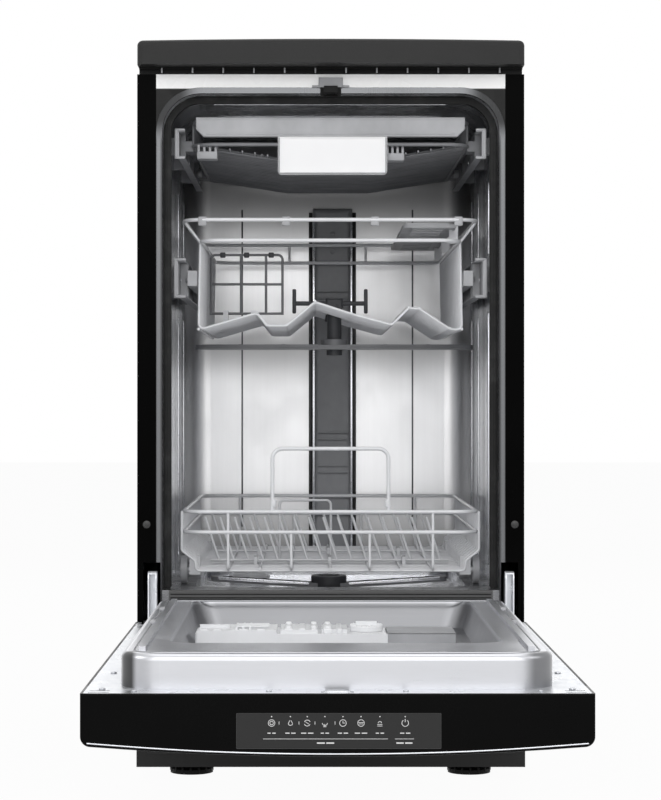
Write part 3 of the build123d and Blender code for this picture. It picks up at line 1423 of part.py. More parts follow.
with BuildPart() as lower_fittings:
    for bar_y in tine_y.values():
        clip_step = tine_clip_step * tine_pitch
        for clip_x in (-clip_step, 0, clip_step):
            clip_z = (lower_floor, tine_bar_level + tine_wire / 2 + clip_wall)
            clip_y = (bar_y - wire_pitch / 2, bar_y + wire_pitch / 2)
            block((clip_x - tine_clip_width / 2, clip_x + tine_clip_width / 2), clip_y, clip_z)
        bar_x = (-tine_bar_half - 1, tine_bar_half + 1)
        rod(bar_x, bar_y, tine_bar_level, tine_wire / 2 + slide_gap, Axis.X, Mode.SUBTRACT)
    for side in (-1, 1):
        for wheel_y in wheel_places.values():
            holder_x = span(side, corner_x - 4, wheel_inner - 3)
            holder_z = (wheel_level - 2 * axle_radius, wheel_level + wheel_radius)
            block(holder_x, (wheel_y - 2 * axle_radius, wheel_y + 2 * axle_radius), holder_z)
            axle_x = span(side, corner_x, wheel_inner + wheel_width + 1.5)
            rod(axle_x, wheel_y, wheel_level, axle_radius, Axis.X)
with BuildPart() as lower_basket:
    parts = [lower_fittings.part] + copies(lower_cross, [(0, y, 0) for y in lower_wire_y])
    parts.append(ring(lower_half, *lower_y, lower_rim, frame_wire))
    parts.append(ring(lower_half, *lower_y, lower_ring, frame_wire))
    for x, top in rail_wires.items():
        run = [(lower_y[0], top), (lower_y[0], long_level), (lower_y[1], long_level), (lower_y[1], top)]
        parts.append(bent_wire([(x, y, z) for y, z in run], cross_wire))
    for x in floor_wires:
        ends = (lower_wire_y[0] - cross_wire, lower_wire_y[-1] + cross_wire)
        parts.append(straight_wire((x, ends[0], long_level), (x, ends[1], long_level), cross_wire))
    hoop = [(-hoop_half, lower_rim), (-hoop_half, hoop_top), (hoop_half, hoop_top), (hoop_half, lower_rim)]
    parts.append(bent_wire([(x, lower_y[0], z) for x, z in hoop], frame_wire, 2 * wire_bend))
    small = [(fixed_hoop_left, lower_floor), (fixed_hoop_left, fixed_hoop_top)]
    small += [(fixed_hoop_right, fixed_hoop_top), (fixed_hoop_right, lower_floor)]
    hoop_wire = min(lower_wire_y, key=lambda y: abs(y - front - fixed_hoop_y))
    parts.append(bent_wire([(x, hoop_wire, z) for x, z in small], cross_wire))
    add(parts)
lower_basket.part.label = "lower_basket"
export_step(lower_basket.part, "parts/lower_basket.step")

for row_name, bar_y in tine_y.items():
    rise = tine_top - tine_bar_level
    lean = rise * sin(radians(tine_lean)) / cos(radians(tine_lean))
    with BuildPart() as plate_tines:
        ends = ((-tine_bar_half, bar_y, tine_bar_level), (tine_bar_half, bar_y, tine_bar_level))
        parts = [straight_wire(*ends, tine_wire)]
        for step in range(tine_count):
            x = (step - (tine_count - 1) / 2) * tine_pitch
            parts.append(straight_wire((x, bar_y, tine_bar_level), (x - lean, bar_y, tine_top), tine_wire))
        add(parts)
    plate_tines.part.label = f"{row_name}_plate_tines"
    export_step(plate_tines.part, f"parts/{row_name}_plate_tines.step")

for wheel_name, wheel_y in wheel_places.items():
    with BuildPart() as wheels:
        for side in (-1, 1):
            tread_x = span(side, wheel_inner, wheel_inner + wheel_width)
            rod(tread_x, wheel_y, wheel_level, wheel_radius, Axis.X)
            dish_x = span(side, wheel_inner + wheel_width / 2, wheel_inner + wheel_width + through)
            rod(dish_x, wheel_y, wheel_level, wheel_radius - wheel_rim, Axis.X, Mode.SUBTRACT)
            rod(tread_x, wheel_y, wheel_level, 2 * axle_radius, Axis.X)
            bore_x = span(side, wheel_inner - through, wheel_inner + wheel_width + through)
            rod(bore_x, wheel_y, wheel_level, axle_radius + slide_gap, Axis.X, Mode.SUBTRACT)
    wheels.part.label = f"{wheel_name}_wheels"
    export_step(wheels.part, f"parts/{wheel_name}_wheels.step")
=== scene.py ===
"""Looks of a slimline dishwasher that stands with its door open and its racks in.

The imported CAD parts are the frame. Their finishes are set here, and the smaller things that
someone sees on the real machine are built onto them: pressed ribs, screws, key marks, nozzles.
"""
import logging
import math
from collections.abc import Iterable, Iterator, Sequence
from dataclasses import dataclass
from enum import Enum

import bmesh
import bpy
from mathutils import Matrix, Vector


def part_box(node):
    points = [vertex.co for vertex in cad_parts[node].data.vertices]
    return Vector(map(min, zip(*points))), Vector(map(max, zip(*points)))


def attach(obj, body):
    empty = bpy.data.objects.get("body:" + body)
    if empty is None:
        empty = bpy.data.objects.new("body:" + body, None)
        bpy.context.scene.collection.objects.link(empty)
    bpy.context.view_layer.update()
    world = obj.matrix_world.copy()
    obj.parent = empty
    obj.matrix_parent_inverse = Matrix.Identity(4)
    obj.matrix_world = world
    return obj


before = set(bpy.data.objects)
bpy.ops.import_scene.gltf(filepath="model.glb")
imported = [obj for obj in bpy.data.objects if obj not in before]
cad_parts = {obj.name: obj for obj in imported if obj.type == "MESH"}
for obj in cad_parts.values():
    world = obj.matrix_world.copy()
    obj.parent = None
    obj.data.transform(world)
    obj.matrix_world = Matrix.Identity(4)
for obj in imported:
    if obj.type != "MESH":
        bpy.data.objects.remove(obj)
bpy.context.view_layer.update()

MM = 0.001
PLAIN = (1.0, 1.0, 1.0)
SIDES = (-1, 1)
SPIN_Y = 350.0

log = logging.getLogger("dishwasher")

Number = float | int
Range = tuple[float, float]
Triple = tuple[float, float, float]
Piece = bpy.types.Object


def tone(red: int, green: int | None = None, blue: int | None = None) -> Triple:
    """Turns a colour as a screen shows it into the linear one that a shader takes.

    Args:
        red: The red part, 0 to 255, or the grey where it is the only one.
        green: The green part.
        blue: The blue part.

    Returns:
        The linear red, green and blue.
    """
    parts = (red, red if green is None else green, red if blue is None else blue)
    return tuple(p / 255 / 12.92 if p <= 10 else ((p / 255 + 0.055) / 1.055) ** 2.4 for p in parts)


class Axis(Enum):
    """A direction of the frame."""

    X = (1.0, 0.0, 0.0)
    Y = (0.0, 1.0, 0.0)
    Z = (0.0, 0.0, 1.0)

    def turn(self) -> Matrix:
        """The turn that lays a shape's own Z along this direction."""
        return Vector((0.0, 0.0, 1.0)).rotation_difference(Vector(self.value)).to_matrix().to_4x4()


class Signal:
    """A socket of a node tree, on which Python's arithmetic adds the nodes that work it out."""

    def __init__(self, shader: "Shader", socket: bpy.types.NodeSocket) -> None:
        """Keeps the socket and the tree that it is in."""
        self.shader = shader
        self.socket = socket

    def maths(self, operation: str, *others: "Signal | Number", swapped: bool = False) -> "Signal":
        """Adds one Math node.

        Args:
            operation: The Math node's operation.
            others: What goes into its other sockets.
            swapped: Whether this signal comes after the others.

        Returns:
            The node's result.
        """
        terms = [*others, self] if swapped else [self, *others]
        return self.shader.node("ShaderNodeMath", {"operation": operation}, dict(enumerate(terms)))

    def __add__(self, other: "Signal | Number") -> "Signal":
        """This plus another."""
        return self.maths("ADD", other)

    def __radd__(self, other: Number) -> "Signal":
        """A number plus this."""
        return self.maths("ADD", other, swapped=True)

    def __sub__(self, other: "Signal | Number") -> "Signal":
        """This less another."""
        return self.maths("SUBTRACT", other)

    def __rsub__(self, other: Number) -> "Signal":
        """A number less this."""
        return self.maths("SUBTRACT", other, swapped=True)

    def __mul__(self, other: "Signal | Number") -> "Signal":
        """This times another."""
        return self.maths("MULTIPLY", other)

    def __rmul__(self, other: Number) -> "Signal":
        """A number times this."""
        return self.maths("MULTIPLY", other, swapped=True)

    def size(self) -> "Signal":
        """This without its sign."""
        return self.maths("ABSOLUTE")

    def at_least(self, other: "Signal | Number") -> "Signal":
        """The larger of this and another."""
        return self.maths("MAXIMUM", other)

    def over(self, low: Number, high: Number) -> "Signal":
        """Runs smoothly from 0 where this is low to 1 where it is high.

        Args:
            low: The value that gives 0.
            high: The value that gives 1.

        Returns:
            The smooth step.
        """
        settings = {"interpolation_type": "SMOOTHSTEP"}
        return self.shader.node("ShaderNodeMapRange", settings, {0: self, 1: low, 2: high})


class Shader:
    """The node tree of one finish, with its surface shader."""

    def __init__(self, name: str) -> None:
        """Starts a material that holds only its surface shader and its output.

        Args:
            name: The material's name.
        """
        self.material = bpy.data.materials.new(name)
        self.material.use_nodes = True
        self.nodes = self.material.node_tree.nodes
        self.links = self.material.node_tree.links
        self.nodes.clear()
        self.output = self.nodes.new("ShaderNodeOutputMaterial")
        self.surface = self.nodes.new("ShaderNodeBsdfPrincipled")
        self.links.new(self.surface.outputs[0], self.output.inputs["Surface"])

    def node(self, kind: str, settings: dict | None = None, inputs: dict | None = None,
             result: int | str = 0) -> Signal:
        """Adds a node of any type.

        Args:
            kind: The node's type.
            settings: Its own settings, which are set first.
            inputs: The value or link of each socket, by the socket's name or number.
            result: The output that is handed on.

        Returns:
            That output.
        """
        made = self.nodes.new(kind)
        for name, value in (settings or {}).items():
            setattr(made, name, value)
        for key, value in (inputs or {}).items():
            self.feed(made.inputs[key], value)
        return Signal(self, made.outputs[result])

    def feed(self, socket: bpy.types.NodeSocket, value: "Signal | Number | Sequence[float]") -> None:
        """Links a signal to a socket, or sets the socket's value."""
        if isinstance(value, Signal):
            self.links.new(value.socket, socket)
        elif socket.type == "RGBA" and len(value) == 3:
            socket.default_value = (*value, 1.0)
        else:
            socket.default_value = value

    def _place(self, stretch: Triple) -> Signal:
        """The surface point, in metres, with each direction stretched for a pattern."""
        point = self.node("ShaderNodeTexCoord", result="Object")
        return self.node("ShaderNodeMapping", None, {"Vector": point, "Scale": stretch})

    def noise(self, scale: float, detail: float = 2.0, roughness: float = 0.5,
              stretch: Triple = PLAIN) -> Signal:
        """Soft random variation.

        Args:
            scale: How many blotches there are in a metre.
            detail: How many finer layers are added.
            roughness: How strong those are.
            stretch: What each direction is multiplied by.

        Returns:
            A value from 0 to 1, near one half on average.
        """
        inputs = {"Vector": self._place(stretch), "Scale": scale, "Detail": detail, "Roughness": roughness}
        return self.node("ShaderNodeTexNoise", None, inputs)

    def cells(self, scale: float, stretch: Triple = PLAIN, result: str = "Distance") -> Signal:
        """A pattern of cells.

        Args:
            scale: How many cells there are in a metre.
            stretch: What each direction is multiplied by.
            result: Which of the cells' outputs is wanted.

        Returns:
            That output.
        """
        inputs = {"Vector": self._place(stretch), "Scale": scale}
        return self.node("ShaderNodeTexVoronoi", None, inputs, result)

    def axis(self, axis: Axis) -> Signal:
        """The surface point's place along one direction, in metres."""
        point = self.node("ShaderNodeTexCoord", result="Object")
        return self.node("ShaderNodeSeparateXYZ", None, {0: point}, result=axis.name)

    def blend(self, factor: "Signal | Number", first: "Signal | Triple",
              second: "Signal | Triple") -> Signal:
        """Mixes two colours.

        Args:
            factor: 0 for the first colour, 1 for the second.
            first: The first colour.
            second: The second colour.

        Returns:
            The mixed colour.
        """
        settings = {"data_type": "RGBA", "clamp_factor": True}
        return self.node("ShaderNodeMix", settings, {0: factor, 6: first, 7: second}, result=2)

    def relief(self, height: Signal, depth: float, strength: float = 1.0) -> None:
        """Gives the surface a bump.

        Args:
            height: The relief, where 1 is high.
            depth: How high 1 stands, in metres.
            strength: How much of it shows.
        """
        bump = self.node("ShaderNodeBump", None, {"Strength": strength, "Distance": depth, "Height": height})
        self.varies("Normal", bump)

    def base(self) -> Signal:
        """What the Base Color is fed with so far."""
        return Signal(self, self.surface.inputs["Base Color"].links[0].from_socket)

    def varies(self, socket: str, value: Signal) -> None:
        """Lets one of the surface's sockets vary over it."""
        self.feed(self.surface.inputs[socket], value)

    def fixed(self, **values: Number | Triple) -> None:
        """Sets the surface's own sockets, each named with _ for a space."""
        for name, value in values.items():
            self.feed(self.surface.inputs[name.replace("_", " ")], value)


@dataclass(frozen=True)
class Finish:
    """What one surface is made of: its own name, its slot and its colour. Each kind gives its tree."""

    name: str
    slot: str
    colour: Triple

    def dress(self, shader: Shader) -> None:
        """Adds the finish's nodes to a new material."""
        raise NotImplementedError

    def tinted(self, factor: float) -> Triple:
        """The finish's colour, made darker or paler by a factor."""
        return tuple(min(1.0, part * factor) for part in self.colour)

    def material(self) -> bpy.types.Material:
        """Makes the material once, and hands the same one out after that.

        Returns:
            The material.
        """
        title = f"{self.name}_finish"
        found = bpy.data.materials.get(title)
        if found is None:
            shader = Shader(title)
            self.dress(shader)
            found = shader.material
        return found

    def cover(self, *nodes: str) -> None:
        """Puts the finish on CAD nodes."""
        for node in nodes:
            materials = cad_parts[node].data.materials
            materials.clear()
            materials.append(self.material())


@dataclass(frozen=True)
class PaintedSteel(Finish):
    """Stove enamel on sheet steel, with the slight orange peel of sprayed paint."""

    roughness: float = 0.3
    peel: float = 0.00004

    def dress(self, shader: Shader) -> None:
        """Adds orange peel, a thin film of dust and a gloss that changes with it."""
        dust = shader.noise(9.0, 5.0, 0.6).over(0.42, 0.75)
        shader.varies("Base Color", shader.blend(dust * 0.02, self.colour, tone(60)))
        shader.varies("Roughness", dust * 0.10 + shader.noise(260.0, 2.0) * 0.06 + (self.roughness - 0.03))
        shader.relief(shader.noise(420.0, 2.0, 0.4), self.peel, 0.5)
        shader.fixed(Specular_IOR_Level=0.015)


@dataclass(frozen=True)
class Laminate(Finish):
    """Pressed laminate: a fine pebbled face with paler flecks."""

    fleck: Triple

    def dress(self, shader: Shader) -> None:
        """Adds flecks of two sizes and the pebbled relief."""
        fine = shader.noise(1500.0, 3.0, 0.7)
        flecks = shader.cells(900.0).over(0.30, 0.12)
        cloud = shader.noise(24.0, 4.0, 0.6)
        base = shader.blend(cloud.over(0.3, 0.7) * 0.35, self.colour, self.tinted(0.8))
        shader.varies("Base Color", shader.blend(flecks * 0.22, base, self.fleck))
        shader.varies("Roughness", fine * 0.16 + 0.42)
        shader.relief(fine * 0.6 + shader.noise(620.0, 2.0) * 0.7, 0.00012, 0.6)
        shader.fixed(Specular_IOR_Level=0.2)


@dataclass(frozen=True)
class Moulded(Finish):
    """Injection-moulded plastic, with spark grain and soft flow marks."""

    roughness: float = 0.42
    grain: float = 0.00005
    scale: float = 1100.0
    flow: float = 0.10
    gloss: float = 0.5

    def dress(self, shader: Shader) -> None:
        """Adds flow marks to the colour, and grain to the gloss and the relief."""
        marks = shader.noise(16.0, 4.0, 0.6, (1.0, 2.6, 0.7)).over(0.25, 0.78)
        grain = shader.noise(self.scale, 2.0, 0.6)
        darker, lighter = self.tinted(1 - 2 * self.flow), self.tinted(1 + self.flow)
        shader.varies("Base Color", shader.blend(marks, darker, lighter))
        shader.varies("Roughness", grain * 0.14 + marks * 0.06 + (self.roughness - 0.10))
        shader.relief(grain, self.grain, 0.6)
        shader.fixed(Specular_IOR_Level=self.gloss)


@dataclass(frozen=True)
class Zinc(Finish):
    """Galvanised sheet, with its spangle of flat crystals."""

    spangle: float = 110.0
    roughness: float = 0.34

    def dress(self, shader: Shader) -> None:
        """Adds crystals that differ in tone and gloss, and fine rolling marks."""
        crystal = shader.cells(self.spangle, (1.0, 0.7, 1.0), "Color")
        pick = shader.node("ShaderNodeSeparateXYZ", None, {0: crystal}, result="X")
        bloom = shader.noise(30.0, 4.0, 0.6)
        shader.varies("Base Color", shader.blend(pick * 0.6 + bloom * 0.4, self.tinted(0.88), self.colour))
        shader.varies("Roughness", pick * 0.16 + bloom * 0.10 + (self.roughness - 0.12))
        shader.relief(pick * 0.5 + shader.noise(900.0, 2.0) * 0.5, 0.000006, 0.4)
        shader.fixed(Metallic=0.85)


@dataclass(frozen=True)
class BrushedSteel(Finish):
    """Stainless sheet with the long fine scratches of its brushing."""

    grain: Axis = Axis.X
    roughness: float = 0.24
    metallic: float = 1.0

    def dress(self, shader: Shader) -> None:
        """Adds brushing along the grain, and the faint bloom of handling and dried water."""
        stretch = tuple(0.02 if part else 1.0 for part in self.grain.value)
        scratch = shader.noise(1700.0, 3.0, 0.7, stretch)
        broad = shader.noise(160.0, 3.0, 0.6, stretch)
        bloom = shader.noise(11.0, 5.0, 0.65).over(0.35, 0.75)
        lines = scratch * 0.5 + broad * 0.5
        shader.varies("Base Color", shader.blend(lines, self.tinted(0.86), self.colour))
        shader.varies("Roughness", scratch * 0.14 + bloom * 0.08 + (self.roughness - 0.09))
        shader.relief(scratch * 0.7 + broad * 0.3, 0.00002, 0.45)
        shader.fixed(Metallic=self.metallic)


@dataclass(frozen=True)
class RearWallSteel(BrushedSteel):
    """The tub's rear wall, bright at mid height, with painted shade towards its floor and its roof."""

    roof: float = 0.66
    arm_level: float = 0.51
    floor: float = 0.30
    foot: float = 0.235

    def dress(self, shader: Shader) -> None:
        """Adds painted shade to the brushing: under the roof, at the upper arm's height and near the floor.
        """
        super().dress(shader)
        height = shader.axis(Axis.Z)
        foot = height.over(self.foot, self.foot - 0.02)
        floor_shade_mask = height.over(self.floor - 0.10, self.floor + 0.03).at_least(foot)
        roof = height.over(self.roof + 0.06, self.roof - 0.03)
        arm = 1 - (height - self.arm_level).size().over(0.055, 0.0) * 0.55
        # Painted shade: a darker copy of the steel near the floor, under the roof and at the upper arm's
        # height.
        shader.varies("Base Color", shader.blend(floor_shade_mask * roof * arm, self.tinted(0.26), shader.base()))
        shader.fixed(Metallic=0.7)


@dataclass(frozen=True)
class LinerSteel(BrushedSteel):
    """The inner door: brushed steel, with painted shade round the rolled corners of its near end and on the
    slopes of its recess.
    """

    corner: float = 0.164
    near_end: float = -0.556
    recess_level: float = 0.2115

    def dress(self, shader: Shader) -> None:
        """Adds painted shade on the turn of each corner, faintly over the whole near end, and on the slopes
        of the recess.
        """
        super().dress(shader)
        across = shader.axis(Axis.X)
        end = shader.axis(Axis.Y).over(self.near_end, self.near_end - 0.010)
        left = across.over(-self.corner - 0.0125, -self.corner - 0.0195) * 0.98
        right = across.over(self.corner, self.corner + 0.012) * 0.55
        low = shader.axis(Axis.Z).over(self.recess_level, self.recess_level - 0.003)
        # Painted shade: dark on the turn of each corner, faint over the near end, and on the recess's
        # slopes.
        dull = self.tinted(0.05)
        turned = shader.blend(end * (left + right + 0.10), shader.base(), dull)
        shader.varies("Metallic", 1 - end * left)
        shader.varies("Base Color", shader.blend((1 - end) * low * 0.46, turned, dull))


@dataclass(frozen=True)
class TubSteel(BrushedSteel):
    """The tub's wrapper: brushed walls with painted streaks of reflection, and a rolled flange round the
    mouth in painted shade.
    """

    mouth: float = 0.0765
    half_width: float = 0.1993

    def dress(self, shader: Shader) -> None:
        """Adds painted shade on the flange, with a lighter line down each side, and soft upright bands on
        the walls, painted streaks of reflection.
        """
        super().dress(shader)
        inside = shader.axis(Axis.Y).over(self.mouth, self.mouth + 0.004)
        # Painted streaks of reflection down the walls.
        bands = shader.noise(17.0, 2.0, 0.5, (1.0, 1.0, 0.02)).over(0.36, 0.62)
        wall = shader.blend(bands, self.tinted(0.45), shader.base())
        across, height = shader.axis(Axis.X).size(), shader.axis(Axis.Z)
        # Painted shade on the flange, darkest at its top corners and down its sides, apart from a lighter
        # line at the wall's edge.
        corner = across.over(0.150, 0.176) * height.over(0.735, 0.762) * 0.85
        edge = (across - self.half_width).size().over(0.0010, 0.0036) * height.over(0.76, 0.73) * 0.7
        flange = shader.blend(corner.at_least(edge), self.tinted(0.17), tone(28))
        shader.varies("Base Color", shader.blend(inside, flange, wall))
        shader.varies("Metallic", 1 - inside * height.over(0.70, 0.78) * 0.45)


@dataclass(frozen=True)
class FloorSteel(BrushedSteel):
    """The tub's floor: bright on its far slope, dull where the sill shades it."""

    shade: float = 0.30

    def dress(self, shader: Shader) -> None:
        """Adds the shade over the near part."""
        super().dress(shader)
        near = shader.axis(Axis.Y).over(self.shade + 0.06, self.shade - 0.04)
        shader.varies("Base Color", shader.blend(near, shader.base(), self.tinted(0.22)))


@dataclass(frozen=True)
class CrossbarZinc(Zinc):
    """The galvanised bar over the door: bare zinc along its top, and dark below a level, painted shade where
    the tub's corners meet it.
    """

    shade_level: float = 0.7975

    def dress(self, shader: Shader) -> None:
        """Adds the painted shade below its level."""
        super().dress(shader)
        # Painted shade: the bar is dark below the level, where the tub's corners meet it.
        bare = shader.axis(Axis.Z).over(self.shade_level - 0.0008, self.shade_level + 0.0008)
        shader.varies("Base Color", shader.blend(bare, tone(9), shader.base()))
        shader.varies("Metallic", bare * 0.08)
        shader.fixed(Specular_IOR_Level=0.2)


@dataclass(frozen=True)
class CoatedWire(Finish):
    """Steel wire dipped in nylon, a little lumpy, with a soft shine."""

    roughness: float = 0.36

    def dress(self, shader: Shader) -> None:
        """Adds the thick and thin of the dipping, and pale rubbed places."""
        runs = shader.noise(140.0, 3.0, 0.55)
        rubbed = shader.noise(38.0, 4.0, 0.6).over(0.56, 0.78)
        shader.varies("Base Color", shader.blend(rubbed * 0.7, self.colour, self.tinted(1.18)))
        shader.varies("Roughness", runs * 0.18 + (self.roughness - 0.09))
        shader.relief(runs, 0.00018, 0.5)
        shader.fixed(Coat_Weight=0.2, Coat_Roughness=0.15)


class Rubber(Finish):
    """Extruded seal rubber: matt, with drawn lines and a chalky bloom."""

    def dress(self, shader: Shader) -> None:
        """Adds the bloom and the lines that the die leaves."""
        bloom = shader.noise(45.0, 5.0, 0.65).over(0.45, 0.8)
        shader.varies("Base Color", shader.blend(bloom * 0.30, self.colour, tone(96)))
        shader.varies("Roughness", bloom * 0.20 + 0.55)
        shader.relief(shader.noise(800.0, 2.0, 0.6, (1.0, 1.0, 0.15)), 0.00006, 0.7)
        shader.fixed(Specular_IOR_Level=0.12)


class SmokedGlass(Finish):
    """The dark glossy window over the display, with a fine printed screen behind it."""

    def dress(self, shader: Shader) -> None:
        """Adds the dot screen's faint mottle and a few finger marks to the gloss."""
        screen = shader.noise(2400.0, 1.0, 0.4)
        smear = shader.noise(34.0, 5.0, 0.7, (1.0, 1.0, 2.2)).over(0.50, 0.75)
        shader.varies("Base Color", shader.blend(screen, self.colour, self.tinted(1.25)))
        shader.varies("Roughness", smear * 0.12 + 0.10)
        shader.relief(screen, 0.000004, 0.3)
        shader.fixed(Specular_IOR_Level=0.25)


class CircuitBoard(Finish):
    """A green circuit board, with its copper tracks under the lacquer."""

    def dress(self, shader: Shader) -> None:
        """Adds tracks as the edges of stretched cells, and their slight relief."""
        tracks = shader.cells(180.0, (1.0, 0.35, 1.0)).over(0.42, 0.50)
        shader.varies("Base Color", shader.blend(tracks * 0.5, self.colour, tone(70, 140, 80)))
        shader.varies("Roughness", tracks * 0.12 + 0.30)
        shader.relief(tracks, 0.00004, 0.6)
        shader.fixed(Coat_Weight=0.3, Coat_Roughness=0.1)


class Bitumen(Finish):
    """The tar sheet that quietens the tub: coarse, dull and crusted."""

    def dress(self, shader: Shader) -> None:
        """Adds coarse crust and a dusty film."""
        crust = shader.noise(420.0, 6.0, 0.75)
        film = shader.noise(20.0, 4.0, 0.6).over(0.4, 0.8)
        shader.varies("Base Color", shader.blend(film * 0.35, self.colour, tone(74, 72, 70)))
        shader.varies("Roughness", crust * 0.25 + 0.62)
        shader.relief(crust, 0.0005, 0.8)


class CastBlock(Finish):
    """The cast weight at the back, grey and pitted like concrete."""

    def dress(self, shader: Shader) -> None:
        """Adds aggregate, pits and a cloudy surface."""
        pits = shader.cells(300.0).over(0.16, 0.06)
        cloud = shader.noise(26.0, 6.0, 0.7)
        worn = cloud.over(0.3, 0.75) * 0.6 + pits * 0.4
        shader.varies("Base Color", shader.blend(worn, self.colour, self.tinted(0.6)))
        shader.varies("Roughness", cloud * 0.15 + 0.72)
        shader.relief(1 - pits + cloud * 0.4, 0.0006, 0.7)


@dataclass(frozen=True)
class Glow(Finish):
    """Print and tiny lamps behind the display's window; both get a faint painted glow."""

    strength: float = 0.0

    def dress(self, shader: Shader) -> None:
        """Adds the uneven tone of a small printed mark, and its painted glow where a strength is given."""
        uneven = shader.noise(900.0, 2.0)
        mark = shader.blend(uneven, self.tinted(0.78), self.colour)
        shader.varies("Base Color", mark)
        shader.varies("Roughness", uneven * 0.10 + 0.35)
        if self.strength:
            shader.varies("Emission Color", mark)
            shader.fixed(Emission_Strength=self.strength)


def around(middle: float, half: float) -> Range:
    """The range that reaches equally far to both sides of a middle."""
    return (middle - half, middle + half)


def between(first: float, second: float) -> Range:
    """The range between two places, in whichever order they come."""
    return (min(first, second), max(first, second))


def circle(x: float, y: float, radius: float, count: int, start: float = 0.0) -> Iterator[Triple]:
    """Goes evenly round a circle.

    Args:
        x: The middle's first part.
        y: The middle's second part.
        radius: The circle's radius.
        count: How many places there are.
        start: The first one's angle, in radians.

    Yields:
        The angle of each place and its two parts.
    """
    for step in range(count):
        angle = start + 2 * math.pi * step / count
        yield angle, x + radius * math.cos(angle), y + radius * math.sin(angle)


def edges_at(verts: Iterable[bmesh.types.BMVert]) -> list[bmesh.types.BMEdge]:
    """Every edge that ends at one of the points."""
    return list({edge for vert in verts for edge in vert.link_edges})


class Shape:
    """A mesh in the making, in the frame's millimetres, out of bmesh operators."""

    def __init__(self) -> None:
        """Starts with nothing in it."""
        self.mesh = bmesh.new()

    def _lay(self, made: Iterable[bmesh.types.BMVert], matrix: Matrix) -> None:
        """Moves the new points to their place."""
        bmesh.ops.transform(self.mesh, matrix=matrix, verts=list(made))

    def _round(self, edges: list[bmesh.types.BMEdge], radius: float, segments: int) -> None:
        """Bevels the edges, where a radius is given."""
        if radius > 0:
            bmesh.ops.bevel(self.mesh, geom=edges, offset=radius, segments=segments, affect="EDGES",
                            profile=0.5, material=-1, clamp_overlap=True)

    def block(self, x: Range, y: Range, z: Range, radius: float = 0.0, segments: int = 2,
              turn: Matrix | None = None) -> "Shape":
        """Adds a bevelled box that fills three ranges.

        Args:
            x: The range from left to right.
            y: The range from front to back.
            z: The range from low to high.
            radius: The bevel of its edges.
            segments: How many faces the bevel has.
            turn: A turn about the box's own middle.

        Returns:
            The shape itself.
        """
        made = bmesh.ops.create_cube(self.mesh, size=1.0)["verts"]
        size = Matrix.Diagonal((x[1] - x[0], y[1] - y[0], z[1] - z[0], 1.0))
        middle = Matrix.Translation(((x[0] + x[1]) / 2, (y[0] + y[1]) / 2, (z[0] + z[1]) / 2))
        self._lay(made, middle @ (turn or Matrix()) @ size)
        self._round(edges_at(made), radius, segments)
        return self

    def drum(self, centre: Triple, radius: float, length: float, axis: Axis = Axis.Z, sides: int = 24,
             tip: float | None = None, bevel: float = 0.0) -> "Shape":
        """Adds a round bar, disc or cone.

        Args:
            centre: Its middle.
            radius: Its radius at the lower end of its axis.
            length: Its length.
            axis: The direction that it lies in.
            sides: How many sides it has.
            tip: Its radius at the other end, if it tapers.
            bevel: The bevel of its rims.

        Returns:
            The shape itself.
        """
        ends = {"radius1": radius, "radius2": radius if tip is None else tip}
        made = bmesh.ops.create_cone(self.mesh, cap_ends=True, segments=sides, depth=length, **ends)["verts"]
        self._lay(made, Matrix.Translation(centre) @ axis.turn())
        rims = [edge for edge in edges_at(made) if any(len(face.verts) > 4 for face in edge.link_faces)]
        self._round(rims, bevel, 2)
        return self

    def flutes(self, centre: Triple, reach: float, count: int, radius: float, length: float,
               bevel: float = 0.3) -> "Shape":
        """Adds thin upright bars round a knob.

        Args:
            centre: The middle of the ring that they stand in.
            reach: The ring's radius.
            count: How many there are.
            radius: The radius of one.
            length: The length of one.
            bevel: The bevel of its rims.

        Returns:
            The shape itself.
        """
        for _, x, y in circle(centre[0], centre[1], reach, count):
            self.drum((x, y, centre[2]), radius, length, Axis.Z, 10, bevel=bevel)
        return self

    def hoop(self, centre: Triple, radius: float, wire: float, axis: Axis = Axis.Z, sides: int = 28,
             around: int = 8) -> "Shape":
        """Adds a round ring of round wire, spun about its axis.

        Args:
            centre: Its middle.
            radius: From the middle to the wire's middle.
            wire: The wire's radius.
            axis: The direction that the ring faces.
            sides: Steps round the ring.
            around: Sides of the wire.

        Returns:
            The shape itself.
        """
        before = set(self.mesh.verts)
        section = bmesh.ops.create_circle(self.mesh, segments=around, radius=wire)["verts"]
        stand = Matrix.Translation((radius, 0.0, 0.0)) @ Matrix.Rotation(math.pi / 2, 4, "X")
        self._lay(section, stand)
        bmesh.ops.spin(self.mesh, geom=section + edges_at(section), cent=(0.0, 0.0, 0.0),
                       axis=(0.0, 0.0, 1.0), angle=2 * math.pi, steps=sides, use_merge=True)
        made = [vert for vert in self.mesh.verts if vert not in before]
        self._lay(made, Matrix.Translation(centre) @ axis.turn())
        return self

    def arc(self, centre: Triple, radius: float, width: float, depth: float, start: float, sweep: float,
            steps: int = 14) -> "Shape":
        """Adds a flat printed arc that faces the front.

        Args:
            centre: The middle of its circle.
            radius: The circle's radius.
            width: The width of the line.
            depth: Its thickness, front to back.
            start: Where it starts, in degrees from the right.
            sweep: How far it goes, in degrees.
            steps: Steps along it.

        Returns:
            The shape itself.
        """
        before = set(self.mesh.verts)
        made = bmesh.ops.create_grid(self.mesh, x_segments=1, y_segments=1, size=0.5)["verts"]
        self._lay(made, Matrix.Translation((radius, 0.0, 0.0)) @ Matrix.Diagonal((width, depth, 1.0, 1.0)))
        geometry = made + edges_at(made) + list({face for vert in made for face in vert.link_faces})
        bmesh.ops.spin(self.mesh, geom=geometry, cent=(0.0, 0.0, 0.0), axis=(0.0, -1.0, 0.0),
                       angle=math.radians(sweep), steps=steps, use_merge=abs(sweep) >= 360)
        made = [vert for vert in self.mesh.verts if vert not in before]
        self._lay(made, Matrix.Translation(centre) @ Matrix.Rotation(-math.radians(start), 4, "Y"))
        return self

